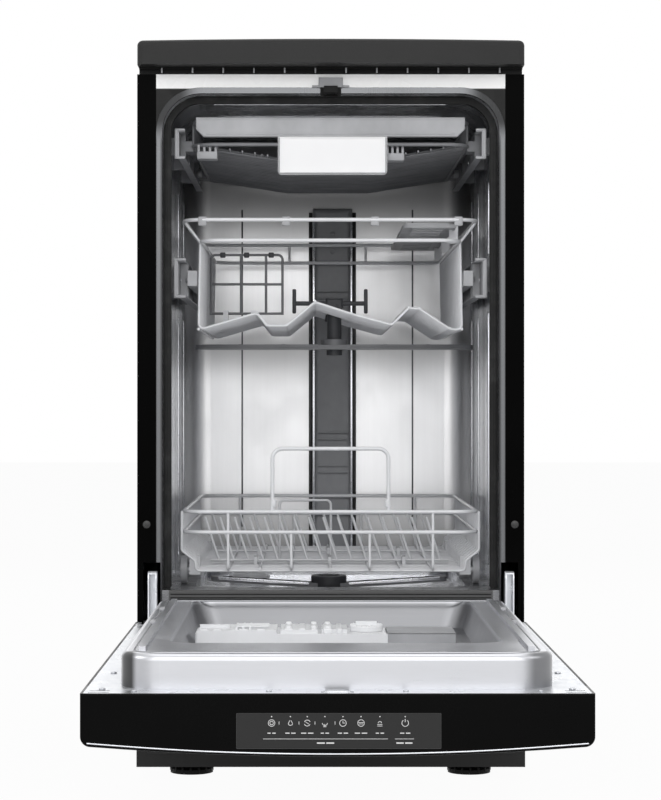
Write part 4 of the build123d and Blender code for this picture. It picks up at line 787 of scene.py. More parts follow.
    def screw(self, centre: Triple, radius: float = 3.2, axis: Axis = Axis.Y, facing: int = -1) -> "Shape":
        """Adds a domed screw head with a cross recess, which faces along its axis.

        Args:
            centre: The middle of the seat that it is screwed down to.
            radius: The head's radius.
            axis: The direction of the screw.
            facing: 1 if the head faces up the axis, -1 if it faces down it.

        Returns:
            The shape itself.
        """
        way = Vector(axis.value) * facing
        head = Vector(centre) + way * radius * 0.22
        self.drum(tuple(head), radius, radius * 0.44, axis, 20, bevel=radius * 0.18)
        groove = Vector(centre) + way * radius * 0.46
        for long in [part for part in Axis if part is not axis]:
            sizes = [radius * (1.1 if part is long else 0.24) for part in Axis]
            self.block(*(around(place, size / 2) for place, size in zip(groove, sizes)), radius * 0.05, 1)
        return self

    def piece(self, name: str, body: str, finish: Finish, crease: float = 35.0) -> Piece:
        """Ends the shape: closes and turns its faces, makes its object and lets it ride on a body.

        Args:
            name: The object's name.
            body: The body that it moves with.
            finish: What it is made of.
            crease: The angle above which an edge stays sharp, in degrees.

        Returns:
            The finished object.
        """
        bmesh.ops.remove_doubles(self.mesh, verts=list(self.mesh.verts), dist=0.0005)
        bmesh.ops.recalc_face_normals(self.mesh, faces=list(self.mesh.faces))
        bmesh.ops.scale(self.mesh, vec=(MM, MM, MM), verts=list(self.mesh.verts))
        mesh = bpy.data.meshes.new(name)
        self.mesh.to_mesh(mesh)
        self.mesh.free()
        return set_out(name, mesh, body, finish, crease)


def set_out(name: str, mesh: bpy.types.Mesh, body: str, finish: Finish,
            crease: float = 35.0) -> Piece:
    """Makes a finished mesh an object that rides on a body.

    Args:
        name: The object's name.
        mesh: Its mesh, in metres and in place.
        body: The body that it moves with.
        finish: What it is made of.
        crease: The angle above which an edge stays sharp, in degrees.

    Returns:
        The object.
    """
    mesh.name = name
    mesh.polygons.foreach_set("use_smooth", [True] * len(mesh.polygons))
    mesh.set_sharp_from_angle(angle=math.radians(crease))
    mesh.materials.clear()
    mesh.materials.append(finish.material())
    made = bpy.data.objects.new(name, mesh)
    bpy.context.scene.collection.objects.link(made)
    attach(made, body)
    return made


def bead(name: str, points: Sequence[Triple], radius: float, body: str, finish: Finish,
         closed: bool = False) -> Piece:
    """Draws a round bead or wire smoothly along a few points.

    Args:
        name: The object's name.
        points: Control points, in millimetres.
        radius: The bead's radius, in millimetres.
        body: The body that it moves with.
        finish: What it is made of.
        closed: Whether it comes back to its start.

    Returns:
        The finished object.
    """
    line = bpy.data.curves.new(name, "CURVE")
    line.dimensions = "3D"
    line.bevel_depth = radius * MM
    line.bevel_resolution = 3
    line.use_fill_caps = True
    spline = line.splines.new("NURBS")
    spline.points.add(len(points) - 1)
    for point, place in zip(spline.points, points):
        point.co = (*(part * MM for part in place), 1.0)
        point.radius = 1.0
    spline.order_u = 3
    spline.use_endpoint_u = not closed
    spline.use_cyclic_u = closed
    spline.resolution_u = 6
    holder = bpy.data.objects.new(name, line)
    bpy.context.scene.collection.objects.link(holder)
    bpy.context.view_layer.update()
    mesh = bpy.data.meshes.new_from_object(holder.evaluated_get(bpy.context.evaluated_depsgraph_get()))
    bpy.data.objects.remove(holder)
    bpy.data.curves.remove(line)
    return set_out(name, mesh, body, finish)


def edges_of(node: str) -> tuple[Vector, Vector]:
    """The lowest and the highest corner of a CAD node, in millimetres."""
    low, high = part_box(node)
    return low / MM, high / MM


def middle_of(node: str) -> Triple:
    """The middle of a CAD node's box, in millimetres."""
    return tuple((low + high) / 2 for low, high in zip(*edges_of(node)))


BLACK_ENAMEL = PaintedSteel("black_enamel", "black_enamel", tone(4))
DOOR_ENAMEL = PaintedSteel("door_enamel", "black_enamel", tone(4), 0.26)
LAMINATE = Laminate("worktop_laminate", "worktop_laminate", tone(39), tone(76))
BLACK_PLASTIC = Moulded("black_plastic", "black_plastic", tone(14), 0.48, gloss=0.12)
PLINTH_PLASTIC = Moulded("plinth_plastic", "black_plastic", tone(48), 0.50, gloss=0.2)
FOOT_PLASTIC = Moulded("foot_plastic", "black_plastic", tone(14), 0.46, gloss=0.12)
FASCIA_PLASTIC = Moulded("fascia_plastic", "fascia_plastic", tone(5), 0.26, 0.00001, 900.0, 0.08, gloss=0.05)
ZINC = Zinc("galvanised_steel", "galvanised_steel", tone(212, 214, 218))
BRIGHT_ZINC = CrossbarZinc("bright_zinc", "galvanised_steel", tone(255, 255, 255), 90.0, 0.42)
TUB_STEEL = TubSteel("tub_steel", "stainless_steel", tone(214, 216, 220), Axis.Z, 0.26)
FLOOR_STEEL = FloorSteel("tub_floor_steel", "stainless_steel", tone(240, 241, 244), Axis.X, 0.26)
# A darker copy of the stainless steel: painted shade on the liner's rolled rim.
SHADED_RIM_STEEL = BrushedSteel("shaded_rim_steel", "stainless_steel", tone(150, 151, 154), Axis.X, 0.34)
REAR_STEEL = RearWallSteel("rear_wall_steel", "stainless_steel", tone(253, 253, 254), Axis.Z, 0.34)
LINER_STEEL = LinerSteel("door_liner_steel", "stainless_steel", tone(206, 207, 211), Axis.X, 0.32)
GREY_PLASTIC = Moulded("grey_plastic", "grey_plastic", tone(178, 179, 182))
TRAY_PLASTIC = Moulded("tray_plastic", "grey_plastic", tone(176, 177, 180), 0.46)
ARM_PLASTIC = Moulded("arm_plastic", "grey_plastic", tone(128, 129, 132), 0.38)
DARK_PLASTIC = Moulded("dark_plastic", "dark_plastic", tone(72, 73, 76), 0.46, gloss=0.3)
DUCT_PLASTIC = Moulded("duct_plastic", "dark_plastic", tone(150, 151, 154), 0.42, gloss=0.4)
# Paler than the tray's mesh: a painted sheen on the slats.
SLAT_PLASTIC = Moulded("slat_plastic", "dark_plastic", tone(168, 169, 172), 0.42, gloss=0.4)
MESH_PLASTIC = Moulded("mesh_plastic", "dark_plastic", tone(132, 133, 136), 0.46, gloss=0.3)
WHITE_PLASTIC = Moulded("white_plastic", "white_plastic", tone(240, 241, 243), 0.32, 0.00003, 900.0, 0.03)
PLATE_WHITE = Moulded("plate_white", "grey_plastic", tone(250, 250, 251), 0.36, 0.00002, 900.0, 0.01)
COATED_WIRE = CoatedWire("coated_wire", "coated_wire", tone(232, 233, 236))
SEAL_RUBBER = Rubber("seal_rubber", "seal_rubber", tone(42))
SILL_RUBBER = Rubber("sill_rubber", "seal_rubber", tone(98))
DISPLAY_GLASS = SmokedGlass("display_glass", "display_glass", tone(40))
BOARD_GREEN = CircuitBoard("board_green", "board_green", tone(34, 92, 52))
BITUMEN = Bitumen("bitumen", "bitumen", tone(34, 33, 32))
SPRING_STEEL = BrushedSteel("spring_steel", "spring_steel", tone(168, 170, 174), Axis.Z, 0.30)
CAST_BALLAST = CastBlock("cast_ballast", "cast_ballast", tone(150, 148, 144))
STRIKER_PLASTIC = Moulded("striker_plastic", "galvanised_steel", tone(150, 151, 154), 0.42)
SCREW_STEEL = BrushedSteel("screw_steel", "galvanised_steel", tone(186, 188, 192), Axis.Z, 0.26)
# Grey print with a faint painted glow.
GLOWING_PRINT_GREY = Glow("glowing_printed_grey", "display_glass", tone(206), 0.35)
# A paler copy of the stainless steel; on the wall beads, the duct's edges and the lower arm's strip it is a
# painted highlight.
BEAD_STEEL = BrushedSteel("bead_steel", "stainless_steel", tone(228, 229, 233), Axis.Z, 0.24)
# A darker copy of the stainless steel: painted shade on the rear wall's beads.
SHADE_STEEL = BrushedSteel("shade_steel", "stainless_steel", tone(96, 97, 100), Axis.Z, 0.36)
# A painted highlight along the fascia's lower edge.
EDGE_HIGHLIGHT_SILVER = BrushedSteel("edge_highlight_silver", "galvanised_steel", tone(190, 192, 196), Axis.X, 0.28)
DARK_TRIM = Moulded("dark_trim", "fascia_plastic", tone(64), 0.3, gloss=0.3)

COVERINGS: dict[Finish, tuple[str, ...]] = {
    LAMINATE: ("worktop",),
    BLACK_PLASTIC: ("worktop_frame", "striker_hook"),
    BLACK_ENAMEL: ("left_side_panel", "right_side_panel"),
    ZINC: ("rear_panel", "door_frame", "hinge_levers", "hinge_brackets", "sill_bar"),
    BRIGHT_ZINC: ("top_crossbar",),
    PLINTH_PLASTIC: ("plinth",),
    FOOT_PLASTIC: ("front_left_foot", "front_right_foot", "rear_left_foot", "rear_right_foot"),
    TUB_STEEL: ("tub_wrapper",),
    FLOOR_STEEL: ("tub_floor",),
    REAR_STEEL: ("tub_rear_wall",),
    LINER_STEEL: ("door_liner",),
    SEAL_RUBBER: ("door_gasket",),
    SILL_RUBBER: ("sill_seal",),
    STRIKER_PLASTIC: ("latch_striker",),
    DUCT_PLASTIC: ("rear_duct",),
    DARK_PLASTIC: ("base_tray", "sump", "circulation_pump", "drain_pump", "drain_filter",
                   "upper_feed_tube"),
    GREY_PLASTIC: ("cutlery_rails", "upper_rails", "upper_basket_runners", "cup_shelf",
                   "front_wheels", "rear_wheels"),
    TRAY_PLASTIC: ("cutlery_tray_front",),
    PLATE_WHITE: ("cutlery_tray_handle",),
    ARM_PLASTIC: ("upper_spray_arm", "lower_spray_arm"),
    MESH_PLASTIC: ("cutlery_tray", "glass_holder"),
    WHITE_PLASTIC: ("water_softener", "inlet_valve", "salt_cap", "dispenser_body", "detergent_lid",
                    "rinse_aid_cap"),
    CAST_BALLAST: ("counterweight",),
    SPRING_STEEL: ("door_springs", "latch_pawl"),
    DOOR_ENAMEL: ("outer_door_panel",),
    FASCIA_PLASTIC: ("control_fascia",),
    DISPLAY_GLASS: ("display_window",),
    BOARD_GREEN: ("control_board",),
    BITUMEN: ("door_insulation",),
    COATED_WIRE: ("upper_basket", "lower_basket", "front_plate_tines", "rear_plate_tines"),
}


@dataclass
class Studio:
    """The plain pale floor, the soft lights and the camera at the photograph's place."""

    eye: Triple = (-0.0241, -2.688, 0.437)
    lens: float = 107.3
    shift: float = 0.02575
    floor_reach: float = 14.0
    floor_colour: Triple = tone(236)
    floor_glow: float = 0.96
    sky: float = 0.27
    lamps: tuple[tuple[str, Triple, Triple, float, float], ...] = (
        ("front_soft_light", (0.0, -2.6, 1.9), (0.0, 0.3, 0.45), 1.9, 22.0),
        ("fill_light", (0.0, -3.4, 0.75), (0.0, 0.3, 0.5), 3.6, 36.0),
        ("left_soft_light", (-2.2, -1.2, 1.7), (0.0, 0.2, 0.4), 1.3, 12.0),
        ("right_soft_light", (2.2, -1.2, 1.7), (0.0, 0.2, 0.4), 1.3, 12.0),
        ("top_soft_light", (0.0, 0.2, 2.9), (0.0, 0.2, 0.4), 1.8, 15.0),
        ("rear_soft_light", (0.0, 2.9, 1.7), (0.0, 0.3, 0.4), 1.6, 11.0))
    seen_by: tuple[str, ...] = ("Is Camera Ray", "Is Glossy Ray", "Is Transmission Ray")

    def build(self) -> None:
        """Sets up the camera, the floor, the sky and the lamps."""
        self._camera()
        self._floor()
        self._sky()
        for lamp in self.lamps:
            self._lamp(*lamp)
        bpy.context.scene.view_settings.view_transform = "Standard"

    def _camera(self) -> None:
        """Places the camera level, before the open door."""
        lens = bpy.data.cameras.new("camera")
        lens.lens = self.lens
        lens.sensor_fit = "AUTO"
        lens.shift_x = self.shift
        lens.clip_end = 100.0
        camera = bpy.data.objects.new("camera", lens)
        camera.location = self.eye
        camera.rotation_euler = (math.radians(90), 0.0, 0.0)
        bpy.context.scene.collection.objects.link(camera)
        bpy.context.scene.camera = camera

    def _floor(self) -> None:
        """Lays the floor, which the camera sees nearly white, with the object's shadow."""
        shape = bmesh.new()
        bmesh.ops.create_grid(shape, x_segments=1, y_segments=1, size=self.floor_reach)
        mesh = bpy.data.meshes.new("studio_floor")
        shape.to_mesh(mesh)
        shape.free()
        floor = bpy.data.objects.new("studio_floor", mesh)
        bpy.context.scene.collection.objects.link(floor)
        shader = Shader("studio_floor")
        mottle = shader.noise(1.5, 3.0)
        darker = tuple(part * 0.98 for part in self.floor_colour)
        shader.varies("Base Color", shader.blend(mottle, darker, self.floor_colour))
        shader.fixed(Roughness=0.9, Specular_IOR_Level=0.1)
        white = shader.node("ShaderNodeEmission", None, {"Color": PLAIN, "Strength": 1.0})
        lit = Signal(shader, shader.surface.outputs[0])
        mix = {0: self._seen(shader) * self.floor_glow, 1: lit, 2: white}
        mixed = shader.node("ShaderNodeMixShader", None, mix)
        shader.links.new(mixed.socket, shader.output.inputs["Surface"])
        mesh.materials.append(shader.material)

    def _seen(self, shader: Shader) -> Signal:
        """1 for the camera's own rays, and for those that metal and glass pass on."""
        camera, glossy, passed = [shader.node("ShaderNodeLightPath", result=kind) for kind in self.seen_by]
        return camera.at_least(glossy).at_least(passed)

    def _sky(self) -> None:
        """Makes the background white to the eye and soft to the object."""
        world = bpy.data.worlds.new("studio_sky")
        world.use_nodes = True
        bpy.context.scene.world = world
        tree = world.node_tree
        tree.nodes.clear()
        path = tree.nodes.new("ShaderNodeLightPath")
        output = tree.nodes.new("ShaderNodeOutputWorld")
        sky = tree.nodes.new("ShaderNodeBackground")
        sky.inputs["Strength"].default_value = self.sky
        white = tree.nodes.new("ShaderNodeBackground")
        for background in (sky, white):
            background.inputs["Color"].default_value = (1.0, 1.0, 1.0, 1.0)
        seen = None
        for kind in self.seen_by:
            socket = path.outputs[kind]
            if seen is not None:
                larger = tree.nodes.new("ShaderNodeMath")
                larger.operation = "MAXIMUM"
                tree.links.new(seen, larger.inputs[0])
                tree.links.new(socket, larger.inputs[1])
                socket = larger.outputs[0]
            seen = socket
        mix = tree.nodes.new("ShaderNodeMixShader")
        tree.links.new(seen, mix.inputs[0])
        tree.links.new(sky.outputs[0], mix.inputs[1])
        tree.links.new(white.outputs[0], mix.inputs[2])
        tree.links.new(mix.outputs[0], output.inputs["Surface"])

    def _lamp(self, name: str, place: Triple, aim: Triple, size: float, power: float) -> None:
        """Hangs one soft square lamp.

        Args:
            name: The lamp's name.
            place: Where it hangs.
            aim: The point that it faces.
            size: Its side, in metres.
            power: Its power, in watts.
        """
        lamp = bpy.data.lights.new(name, "AREA")
        lamp.shape = "SQUARE"
        lamp.size = size
        lamp.energy = power
        holder = bpy.data.objects.new(name, lamp)
        holder.location = place
        holder.rotation_euler = (Vector(aim) - Vector(place)).to_track_quat("-Z", "Y").to_euler()
        bpy.context.scene.collection.objects.link(holder)


class Mark(Enum):
    """A generic key mark, as plain strokes: arcs by radius, start and sweep, bars by place and size."""

    PLATE = (((2.9, 0, 360), (1.5, 0, 360)), ())
    DROP = (((2.0, 200, 140),), ((-1.2, 0.9, 0.5, 3.2, 28), (1.2, 0.9, 0.5, 3.2, -28)))
    LEAF = (((2.6, 20, 140), (2.6, 200, 140)), ((0.0, 0.0, 3.6, 0.5, 35),))
    GLASS = (((2.2, 180, 180),), ((0.0, -2.0, 0.5, 2.4, 0), (0.0, -3.2, 2.8, 0.5, 0)))
    CLOCK = (((2.9, 0, 360),), ((0.0, 0.8, 0.5, 1.9, 0), (0.8, 0.0, 1.9, 0.5, 0)))
    HALF = (((2.9, 0, 360),), ((0.0, -0.8, 3.6, 0.5, 0), (0.0, 0.4, 4.6, 0.5, 0)))
    WAVES = (((1.4, 0, 180),), ((0.0, -1.2, 4.4, 0.5, 0), (0.0, -2.6, 4.4, 0.5, 0)))
    START = (((2.9, 125, 290),), ((0.0, 2.2, 0.6, 2.8, 0),))


@dataclass
class ControlPanel:
    """Marks behind the display window, the painted highlight along the fascia's edge and the slot of the
    latch.
    """

    marks: tuple[tuple[float, Mark], ...] = (
        (-57.4, Mark.PLATE), (-41.0, Mark.DROP), (-26.4, Mark.LEAF), (-11.1, Mark.GLASS),
        (4.6, Mark.CLOCK), (20.3, Mark.HALF), (36.7, Mark.WAVES), (58.7, Mark.START))
    mark_level: float = 156.4
    caption_level: float = 147.6
    rule_level: float = 142.6
    word_level: float = 139.0
    lamp_level: float = 162.0
    dividers: tuple[float, ...] = (-50.9, -33.6, -19.7, -2.3)
    rules: tuple[Range, ...] = ((-64.8, 43.7), (49.8, 66.3))
    words: tuple[Range, ...] = ((-10.5, 7.5), (58.0, 7.0))
    bow: tuple[Range, ...] = ((-218.0, 138.6), (-150.0, 133.2), (-75.0, 130.2), (0.0, 129.2),
                              (75.0, 130.2), (150.0, 133.2), (218.0, 138.6))
    ink: float = 0.12
    stroke: float = 0.5
    mouth_stretch: float = 7.5
    body: str = "door"

    def build(self) -> list[Piece]:
        """Builds the panel's own pieces."""
        return [self._marks(), self._captions(), self._lamps(), self._frame(), *self._trim(),
                self._slot(), self._screws()]

    def _lane(self) -> Range:
        """From just in front of the window's glass to just inside it."""
        glass = edges_of("display_window")[0].y
        return around(glass, self.ink)

    def _marks(self) -> Piece:
        """The eight key marks."""
        lane = self._lane()
        middle = (lane[0] + lane[1]) / 2
        shape = Shape()
        for x, mark in self.marks:
            arcs, bars = mark.value
            for radius, start, sweep in arcs:
                centre = (x, middle, self.mark_level)
                shape.arc(centre, radius, self.stroke, lane[1] - lane[0], start, sweep)
            for across, up, width, height, lean in bars:
                turn = Matrix.Rotation(math.radians(lean), 4, "Y")
                shape.block(around(x + across, width / 2), lane, around(self.mark_level + up, height / 2),
                            0.08, 1, turn)
        return shape.piece("key_marks", self.body, GLOWING_PRINT_GREY)

    def _captions(self) -> Piece:
        """Short plain dashes under the marks, the rules below them and the lines between keys."""
        lane = self._lane()
        shape = Shape()

        def dashes(x: float, half: float, gap: float, row: Range) -> None:
            """Adds a pair of dashes, left and right of a gap."""
            shape.block((x - half, x - gap), lane, row, 0.1, 1)
            shape.block((x + 0.6, x + half), lane, row, 0.1, 1)

        for place, (x, _) in enumerate(self.marks):
            dashes(x, 3.6 + 0.9 * (place % 3), 0.8, around(self.caption_level, 0.45))
        for x in self.dividers:
            shape.block(around(x, 0.22), lane, around(self.mark_level, 1.4), 0.05, 1)
        for span in self.rules:
            shape.block(span, lane, around(self.rule_level, 0.2), 0.05, 1)
        for x, half in self.words:
            dashes(x, half, 0.6, around(self.word_level, 0.6))
        return shape.piece("key_captions", self.body, GLOWING_PRINT_GREY)

    def _lamps(self) -> Piece:
        """The tiny round lamps over the keys."""
        lane = self._lane()
        shape = Shape()
        for x, _ in self.marks:
            centre = (x, (lane[0] + lane[1]) / 2, self.lamp_level)
            shape.drum(centre, 0.55, lane[1] - lane[0], Axis.Y, 12, bevel=0.05)
        return shape.piece("key_lamps", self.body, GLOWING_PRINT_GREY)

    def _frame(self) -> Piece:
        """The thin dark edge round the window."""
        low, high = edges_of("display_window")
        y = low.y + 0.05
        corners = [(low.x, low.z), (high.x, low.z), (high.x, high.z), (low.x, high.z)]
        points = []
        for place, (x, z) in enumerate(corners):
            before, after = corners[place - 1], corners[(place + 1) % 4]
            for other in (before, after):
                reach = Vector((other[0] - x, 0.0, other[1] - z)).normalized() * 2.0
                points.append((x + reach.x, y, z + reach.z))
                if other is before:
                    points.append((x, y, z))
        return bead("window_edge", points, 0.28, self.body, DARK_TRIM, closed=True)

    def _trim(self) -> list[Piece]:
        """A silver bead along the fascia's bowed edge, a painted highlight of that edge, and the dark line
        along its upper one.
        """
        low, high = edges_of("control_fascia")
        points = [(x, low.y + 0.25, z) for x, z in self.bow]
        edge = [(x, low.y + 1.0, high.z - 0.4) for x in (low.x + 6.0, 0.0, high.x - 6.0)]
        return [bead("fascia_edge_highlight", points, 0.8, self.body, EDGE_HIGHLIGHT_SILVER),
                bead("fascia_upper_line", edge, 0.4, self.body, DARK_TRIM)]

    def _slot(self) -> Piece:
        """The oval steel mouth that the hook drops into."""
        low, high = edges_of("latch_pawl")
        centre = ((low.x + high.x) / 2, (low.y + high.y) / 2 + 0.5, high.z + 2.9)
        shape = Shape().hoop((0.0, 0.0, 0.0), 6.0, 1.0, Axis.Z, 36, 8)
        ring = list(shape.mesh.verts)
        for vert in ring:
            vert.co.x += math.copysign(self.mouth_stretch, vert.co.x) if abs(vert.co.x) > 0.01 else 0.0
        bmesh.ops.transform(shape.mesh, matrix=Matrix.Translation(centre), verts=ring)
        return shape.piece("latch_mouth", self.body, SCREW_STEEL, 50.0)

    def _screws(self) -> Piece:
        """Screws along the open door's frame, beside the inner liner."""
        low, high = edges_of("door_frame")
        shape = Shape()
        for side in SIDES:
            for way in (26.0, 150.0, 290.0, 430.0):
                shape.screw((side * 207.0, low.y + way, high.z), 3.0, Axis.Z, 1)
            for x in (60.0, 178.0):
                shape.screw((side * x, low.y + 12.0, high.z), 2.6, Axis.Z, 1)
        return shape.piece("door_frame_screws", self.body, SCREW_STEEL)


@dataclass
class DoorLiner:
    """What is pressed into the inner door, and the dispenser's small parts."""

    recess_floor: float = 185.0
    rib_height: float = 1.6
    rim_inset: float = 10.5
    rim_top: float = 212.9
    clip_reach: float = 181.0
    deck: float = 199.0
    body: str = "door"

    def build(self) -> list[Piece]:
        """Builds the liner's own pieces."""
        return [self._rim(), self._ribs(), self._clips(), self._bumps(), self._cover(), self._lid_grip(),
                self._cap_grip(), self._lever_faces()]

    def _rim(self) -> Piece:
        """The rolled bead on top of the liner's rim, in a darker copy of the steel as painted shade."""
        low, high = edges_of("door_liner")
        x, near, far = high.x - self.rim_inset, low.y + self.rim_inset, high.y - self.rim_inset
        points = []
        for side, y, corner, start in ((-1, near + 25.5, 25.5, 180), (1, near + 25.5, 25.5, 270),
                                       (1, far - 5.0, 5.0, 0), (-1, far - 5.0, 5.0, 90)):
            for step in range(5):
                angle = math.radians(start + 22.5 * step)
                across = side * (x - corner) + corner * math.cos(angle)
                points.append((across, y + corner * math.sin(angle), self.rim_top))
        return bead("liner_rolled_rim", points, 0.9, self.body, SHADED_RIM_STEEL, closed=True)

    def _ribs(self) -> Piece:
        """Long pressed ribs in the recess, on the near and the far side of the dispenser."""
        shape = Shape()
        height = (self.recess_floor - 0.6, self.recess_floor + self.rib_height)
        for columns, lane in (((-120.0, -60.0, 0.0, 60.0, 120.0), (-500.0, -300.0)),
                              ((-120.0, 0.0, 120.0), (-165.0, -90.0))):
            for x in columns:
                shape.block(around(x, 5.0), lane, height, 1.4, 3)
        return shape.piece("liner_pressed_ribs", self.body, LINER_STEEL)

    def _clips(self) -> Piece:
        """The small grey clips on the liner's sides."""
        shape = Shape()
        for side in SIDES:
            for y in (-300.0, -150.0):
                x = side * self.clip_reach
                shape.block(around(x, 3.0), around(y, 6.0), (212.5, 216.4), 0.9, 2)
                shape.drum((x, y, 216.2), 1.7, 1.4, Axis.Z, 16, bevel=0.3)
        return shape.piece("liner_clips", self.body, GREY_PLASTIC)

    def _bumps(self) -> Piece:
        """The ridges and bosses between the dispenser's chambers, and the tabs on its near edge."""
        low, high = edges_of("dispenser_body")
        height = (self.deck - 0.4, self.deck + 5.2)
        shape = Shape()
        for x, width in ((-46.0, 9.0), (-32.0, 7.0), (-20.0, 5.0), (-6.0, 9.0), (6.0, 6.0)):
            shape.block(around(x, width / 2), (low.y + 6.0, high.y - 6.0), height, 1.6, 3)
        for x in (-132.0, -118.0, -92.0, -74.0):
            shape.block(around(x, 4.0), (low.y + 0.3, low.y + 2.8), height, 1.0, 2)
        for x in (-46.0, -20.0, -6.0):
            for y in (low.y + 14.0, high.y - 14.0):
                shape.drum((x, y, self.deck + 6.0), 3.4, 3.0, Axis.Z, 20, tip=2.6, bevel=0.5)
        return shape.piece("dispenser_bosses", self.body, WHITE_PLASTIC)

    def _cover(self) -> Piece:
        """The grey cover over the dispenser's works, on its right."""
        low, high = edges_of("dispenser_body")
        across = (55.0, high.x + 0.3)
        shape = Shape()
        shape.block(across, (low.y - 0.4, high.y - 2.0), (198.4, 200.2), 0.6, 2)
        shape.block(across, (low.y - 0.4, low.y + 1.6), (187.0, 200.2), 0.6, 2)
        return shape.piece("dispenser_cover", self.body, TRAY_PLASTIC)

    def _lid_grip(self) -> Piece:
        """Finger ribs on the sliding detergent lid."""
        low, high = edges_of("detergent_lid")
        shape = Shape()
        for step in range(6):
            y = low.y + 12.0 + 6.0 * step
            shape.block((low.x + 8.0, high.x - 8.0), (y, y + 2.2), (high.z - 0.3, high.z + 0.9), 0.4, 2)
        return shape.piece("detergent_lid_ribs", "detergent_lid", WHITE_PLASTIC)

    def _cap_grip(self) -> Piece:
        """Ribs round the rinse aid cap, and the bar that it is turned by."""
        top = edges_of("rinse_aid_cap")[1].z
        x, y, _ = middle_of("rinse_aid_cap")
        shape = Shape().flutes((x, y, top - 2.6), 15.6, 20, 1.1, 4.6)
        shape.block(around(x, 11.0), around(y, 1.6), (top - 0.3, top + 2.4), 0.7, 2)
        return shape.piece("rinse_aid_cap_grip", "rinse_aid_cap", WHITE_PLASTIC)

    def _lever_faces(self) -> Piece:
        """Rivets on the bright hinge levers at both sides of the door."""
        reach = edges_of("hinge_levers")[1].x + 0.2
        shape = Shape()
        for side in SIDES:
            for y, z in ((42.0, 158.0), (46.0, 200.0), (46.0, 228.0)):
                shape.drum((side * reach, y, z), 3.4, 1.6, Axis.X, 18, bevel=0.5)
        return shape.piece("hinge_lever_rivets", self.body, SCREW_STEEL)



@dataclass
class CabinetShell:
    """Fasteners and pressings of the outer cabinet: flanges, rear sheet, frame, plinth and feet."""

    flange_screw: Range = (213.0, 293.0)
    rear_screw_levels: tuple[float, ...] = (122.0, 290.0, 458.0, 626.0, 794.0)
    louvre_columns: tuple[float, ...] = (-60.0, 60.0)
    louvres: int = 8
    louvre_foot: float = 640.0
    louvre_pitch: float = 14.0
    frame_ribs: int = 12
    rib_pitch: float = 35.5
    body: str = "cabinet"

    def build(self) -> list[Piece]:
        """Builds the cabinet's own pieces."""
        return [self._flange_screws(), self._rear_screws(), self._louvres(), self._frame_ribs(),
                self._plinth_lines(), self._bracket_rivets(), *self._feet()]

    def _flange_screws(self) -> Piece:
        """The screw in each side panel's front flange."""
        face = edges_of("left_side_panel")[0].y
        reach, level = self.flange_screw
        shape = Shape()
        for side in SIDES:
            shape.drum((side * reach, face - 0.2, level), 4.4, 0.8, Axis.Y, 24, bevel=0.2)
            shape.screw((side * reach, face - 0.5, level), 3.0)
        return shape.piece("flange_screws", self.body, DARK_TRIM)

    def _rear_screws(self) -> Piece:
        """Screws down both edges of the rear sheet, sunk until they are almost flush."""
        back = edges_of("rear_panel")[1].y
        shape = Shape()
        for x in (-216.0, 216.0):
            for z in self.rear_screw_levels:
                shape.screw((x, back - 1.3, z), 3.2, Axis.Y, 1)
        return shape.piece("rear_sheet_screws", self.body, SCREW_STEEL)

    def _louvres(self) -> Piece:
        """The vent slots of the rear sheet, in two columns high up."""
        back = edges_of("rear_panel")[1].y
        shape = Shape()
        for x in self.louvre_columns:
            for step in range(self.louvres):
                z = self.louvre_foot + self.louvre_pitch * step
                shape.block(around(x, 28.0), (back - 1.0, back + 0.25), around(z, 2.4), 1.0, 3)
        return shape.piece("rear_louvres", self.body, BLACK_PLASTIC)

    def _plinth_lines(self) -> Piece:
        """Low ribs along the plinth, and the heads of its two screws."""
        low, high = edges_of("plinth")
        shape = Shape()
        for z in (30.0, 62.0, 94.0):
            shape.block((low.x + 12.0, high.x - 12.0), (low.y - 0.7, low.y + 0.5), around(z, 1.6), 0.6, 2)
        for side in SIDES:
            shape.screw((side * 196.0, low.y - 0.1, 46.0), 3.4)
        return shape.piece("plinth_ribs", self.body, PLINTH_PLASTIC)

    def _frame_ribs(self) -> Piece:
        """Pale strips on the front edges of the ribs under the worktop: painted highlights on the black
        frame's ribs.
        """
        low, high = edges_of("worktop_frame")
        shape = Shape()
        for step in range(self.frame_ribs):
            x = (step - (self.frame_ribs - 1) / 2) * self.rib_pitch
            shape.block(around(x, 0.9), (low.y - 0.4, low.y + 0.6), (low.z + 1.0, high.z - 1.0), 0.3, 2)
        return shape.piece("worktop_frame_rib_highlights", self.body, GREY_PLASTIC)

    def _bracket_rivets(self) -> Piece:
        """Rivets that hold the hinge brackets to the base."""
        low, high = edges_of("hinge_brackets")
        shape = Shape()
        for side in SIDES:
            for y in (low.y + 66.0, low.y + 84.0, low.y + 98.0):
                shape.drum((side * (high.x - 1.0), y, high.z - 10.0), 2.8, 1.4, Axis.X, 16, bevel=0.4)
        return shape.piece("hinge_bracket_rivets", self.body, SCREW_STEEL)

    def _feet(self) -> list[Piece]:
        """The grip flutes and the ribbed sole of each foot, which turn with it."""
        made = []
        for name in ("front_left_foot", "front_right_foot", "rear_left_foot", "rear_right_foot"):
            x, y, _ = middle_of(name)
            shape = Shape().flutes((x, y, 5.0), 24.2, 16, 1.5, 6.0, 0.4)
            shape.hoop((x, y, 1.1), 17.0, 1.0).hoop((x, y, 1.1), 9.0, 1.0)
            made.append(shape.piece(f"{name}_grip", name, FOOT_PLASTIC))
        return made


